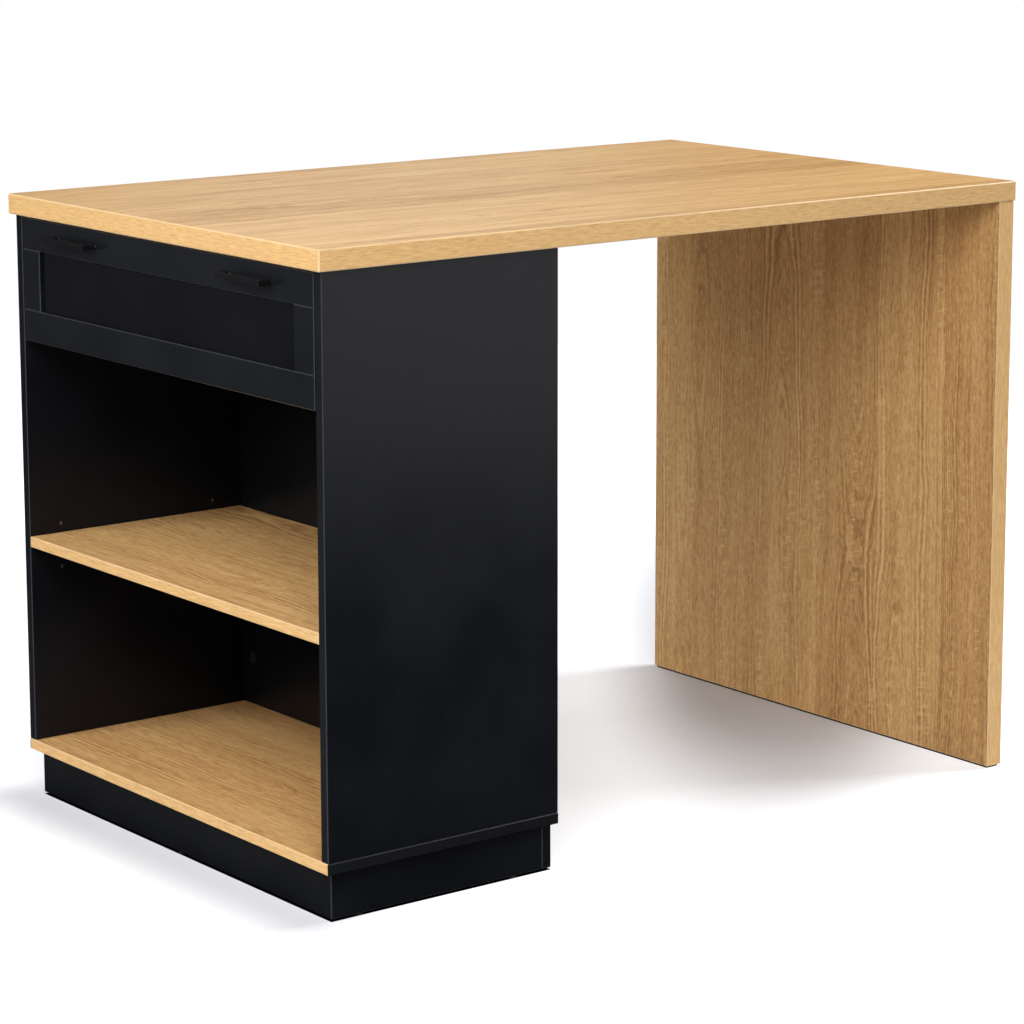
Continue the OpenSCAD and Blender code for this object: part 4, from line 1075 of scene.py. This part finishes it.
def floor_material():
    material, wires, surface, coordinates = new_material("studio_floor")
    m, between = wires.maths, wires.between
    light = wires.node("ShaderNodeLightPath").outputs
    away = wires.length(coordinates["Object"])
    x, y, _ = wires.split(coordinates["Object"])
    aside = m("ABSOLUTE", y)

    front, (rear, side, _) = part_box("plinth_front")[0].x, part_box("plinth_rear")[1]
    from_middle = m("ABSOLUTE", m("SUBTRACT", x, (front + rear) / 2))
    past_plinth = m("MAXIMUM", m("SUBTRACT", from_middle, (rear - front) / 2), m("SUBTRACT", aside, side))
    open_floor = between(past_plinth, -PLINTH_SHADOW, PLINTH_SHADOW)
    mottle = wires.noise(coordinates["Object"], scale=MOTTLES_A_METRE, detail=2.0)
    plain = wires.ramp(mottle, (0.4, [MOTTLE_DIM * c for c in FLOOR_SEEN]), (0.6, FLOOR_SEEN))
    # painted shadow: under the plinth the floor is black to the camera
    seen = wires.mix(open_floor, PAINTED_SHADOW_BLACK, plain)
    bounced = wires.mix(between(away, NEAR_TO, FAR_FROM), FLOOR_NEAR, FLOOR_FAR)
    mirrored = between(x, GLOSS_LEFT_TO, GLOSS_ELSEWHERE_FROM, GLOSS_LEFT, GLOSS_ELSEWHERE)
    colour = wires.mix(light["Is Glossy Ray"], wires.mix(light["Is Camera Ray"], bounced, seen), mirrored)

    shade = wires.node("ShaderNodeMapping", {
        "Vector": coordinates["Object"], "Location": SHADE_PLACE, "Rotation": SHADE_TURN,
        "Scale": SHADE_SIZE}, vector_type="TEXTURE").outputs[0]
    beyond = m("MAXIMUM", m("SUBTRACT", aside, FRONT_HALF_WIDTH), 0.0)
    from_front = wires.length(wires.join(m("SUBTRACT", x, FRONT_X), beyond))
    lift = m("MULTIPLY", between(wires.length(shade), SHADE_CORE, 1.0, 0.0, LIFT),
             between(from_front, 0.0, FRONT_REACH, FRONT_LIFT, 1.0))
    glow = m("MAXIMUM", between(away, GLOW_FROM, GLOW_TO), m("MULTIPLY", lift, open_floor))
    glow = m("MULTIPLY", glow, light["Is Camera Ray"])
    onto_unit = between(away, NEAR_TO, FAR_FROM, FLOOR_ONTO_UNIT, 0.0)
    glow = m("MULTIPLY_ADD", light["Is Diffuse Ray"], onto_unit, glow)
    for name, value in {"Base Color": colour, "Roughness": FLOOR_ROUGH, "Specular IOR Level": 0.0,
                        "Emission Color": WHITE, "Emission Strength": glow}.items():
        wires.feed(surface[name], value)
    return material


def lay_floor():
    form = bmesh.new()
    bmesh.ops.create_circle(form, cap_ends=True, radius=FLOOR_RADIUS, segments=FLOOR_SIDES,
                            matrix=Matrix.Translation((0, 0, -FLOOR_DROP)))
    mesh = bpy.data.meshes.new("floor")
    form.to_mesh(mesh)
    form.free()
    mesh.materials.append(floor_material())
    floor = bpy.data.objects.new("floor", mesh)
    scene.collection.objects.link(floor)


lay_floor()
print("floor", round(2 * FLOOR_RADIUS, 1), "m across")

# %% [markdown]
# Four softboxes stand in a wide ring around the unit, so its shadows stay soft on every side. The strongest
# one shines past the leg panel's outer face, so the leg's shadow falls inwards under the worktop. Two cards
# are seen in reflections only. The side card puts the pale sheen on the upper part of the black side panel
# and leaves its foot dark. The front card, which is much dimmer, does the same for the drawer front.

# %% Hang the lights
WORLD_FILL = 0.045
MIDDLE = Vector((0, 0, 0.45))
SOFTBOXES = {
    # name: (bearing from the -Y side towards +X, height angle, distance, size, watts)
    "left_softbox": (-100, 27, 3.4, 1.5, 65),
    "front_softbox": (-42, 34, 3.4, 1.8, 88),
    "right_softbox": (75, 32, 3.4, 1.5, 118),
    "rear_softbox": (150, 35, 2.8, 1.2, 10),
}
CARDS = {
    # name: (place of its middle, place it faces, width, height, watts)
    "side_card": ((0.35, -1.45, 0.82), (-0.42, -0.37, 0.60), 1.2, 1.1, 2.6),
    "front_card": ((-2.00, 1.90, 0.90), (-0.60, 0.00, 0.50), 1.2, 1.2, 0.65),
}


def hang(name, place, aim, width, height, watts):
    data = bpy.data.lights.new(name, "AREA")
    data.shape = "RECTANGLE"
    data.size, data.size_y, data.energy = width, height, watts
    light = bpy.data.objects.new(name, data)
    light.location = place
    light.rotation_euler = (Vector(aim) - Vector(place)).to_track_quat("-Z", "Y").to_euler()
    light.visible_camera = False
    scene.collection.objects.link(light)
    return light


for name, (bearing, rise, distance, size, watts) in SOFTBOXES.items():
    bearing, rise = math.radians(bearing), math.radians(rise)
    away = Vector((math.sin(bearing) * math.cos(rise), -math.cos(bearing) * math.cos(rise), math.sin(rise)))
    hang(name, MIDDLE + distance * away, MIDDLE, size, size, watts)
for name, card in CARDS.items():
    hang(name, *card).visible_diffuse = False

world = bpy.data.worlds.new("studio")
world.use_nodes = True
world.node_tree.nodes.clear()
wires = Wires(world.node_tree)
ray = wires.node("ShaderNodeLightPath").outputs
fill = wires.maths("MULTIPLY", wires.maths("SUBTRACT", 1.0, ray["Is Glossy Ray"]), WORLD_FILL)
strength = wires.maths("MAXIMUM", fill, ray["Is Camera Ray"])
backdrop = wires.node("ShaderNodeBackground", {"Color": WHITE, "Strength": strength})
wires.node("ShaderNodeOutputWorld", {"Surface": backdrop.outputs[0]})
scene.world = world
scene.view_settings.view_transform = "Standard"
print("lights:", *SOFTBOXES, *CARDS)
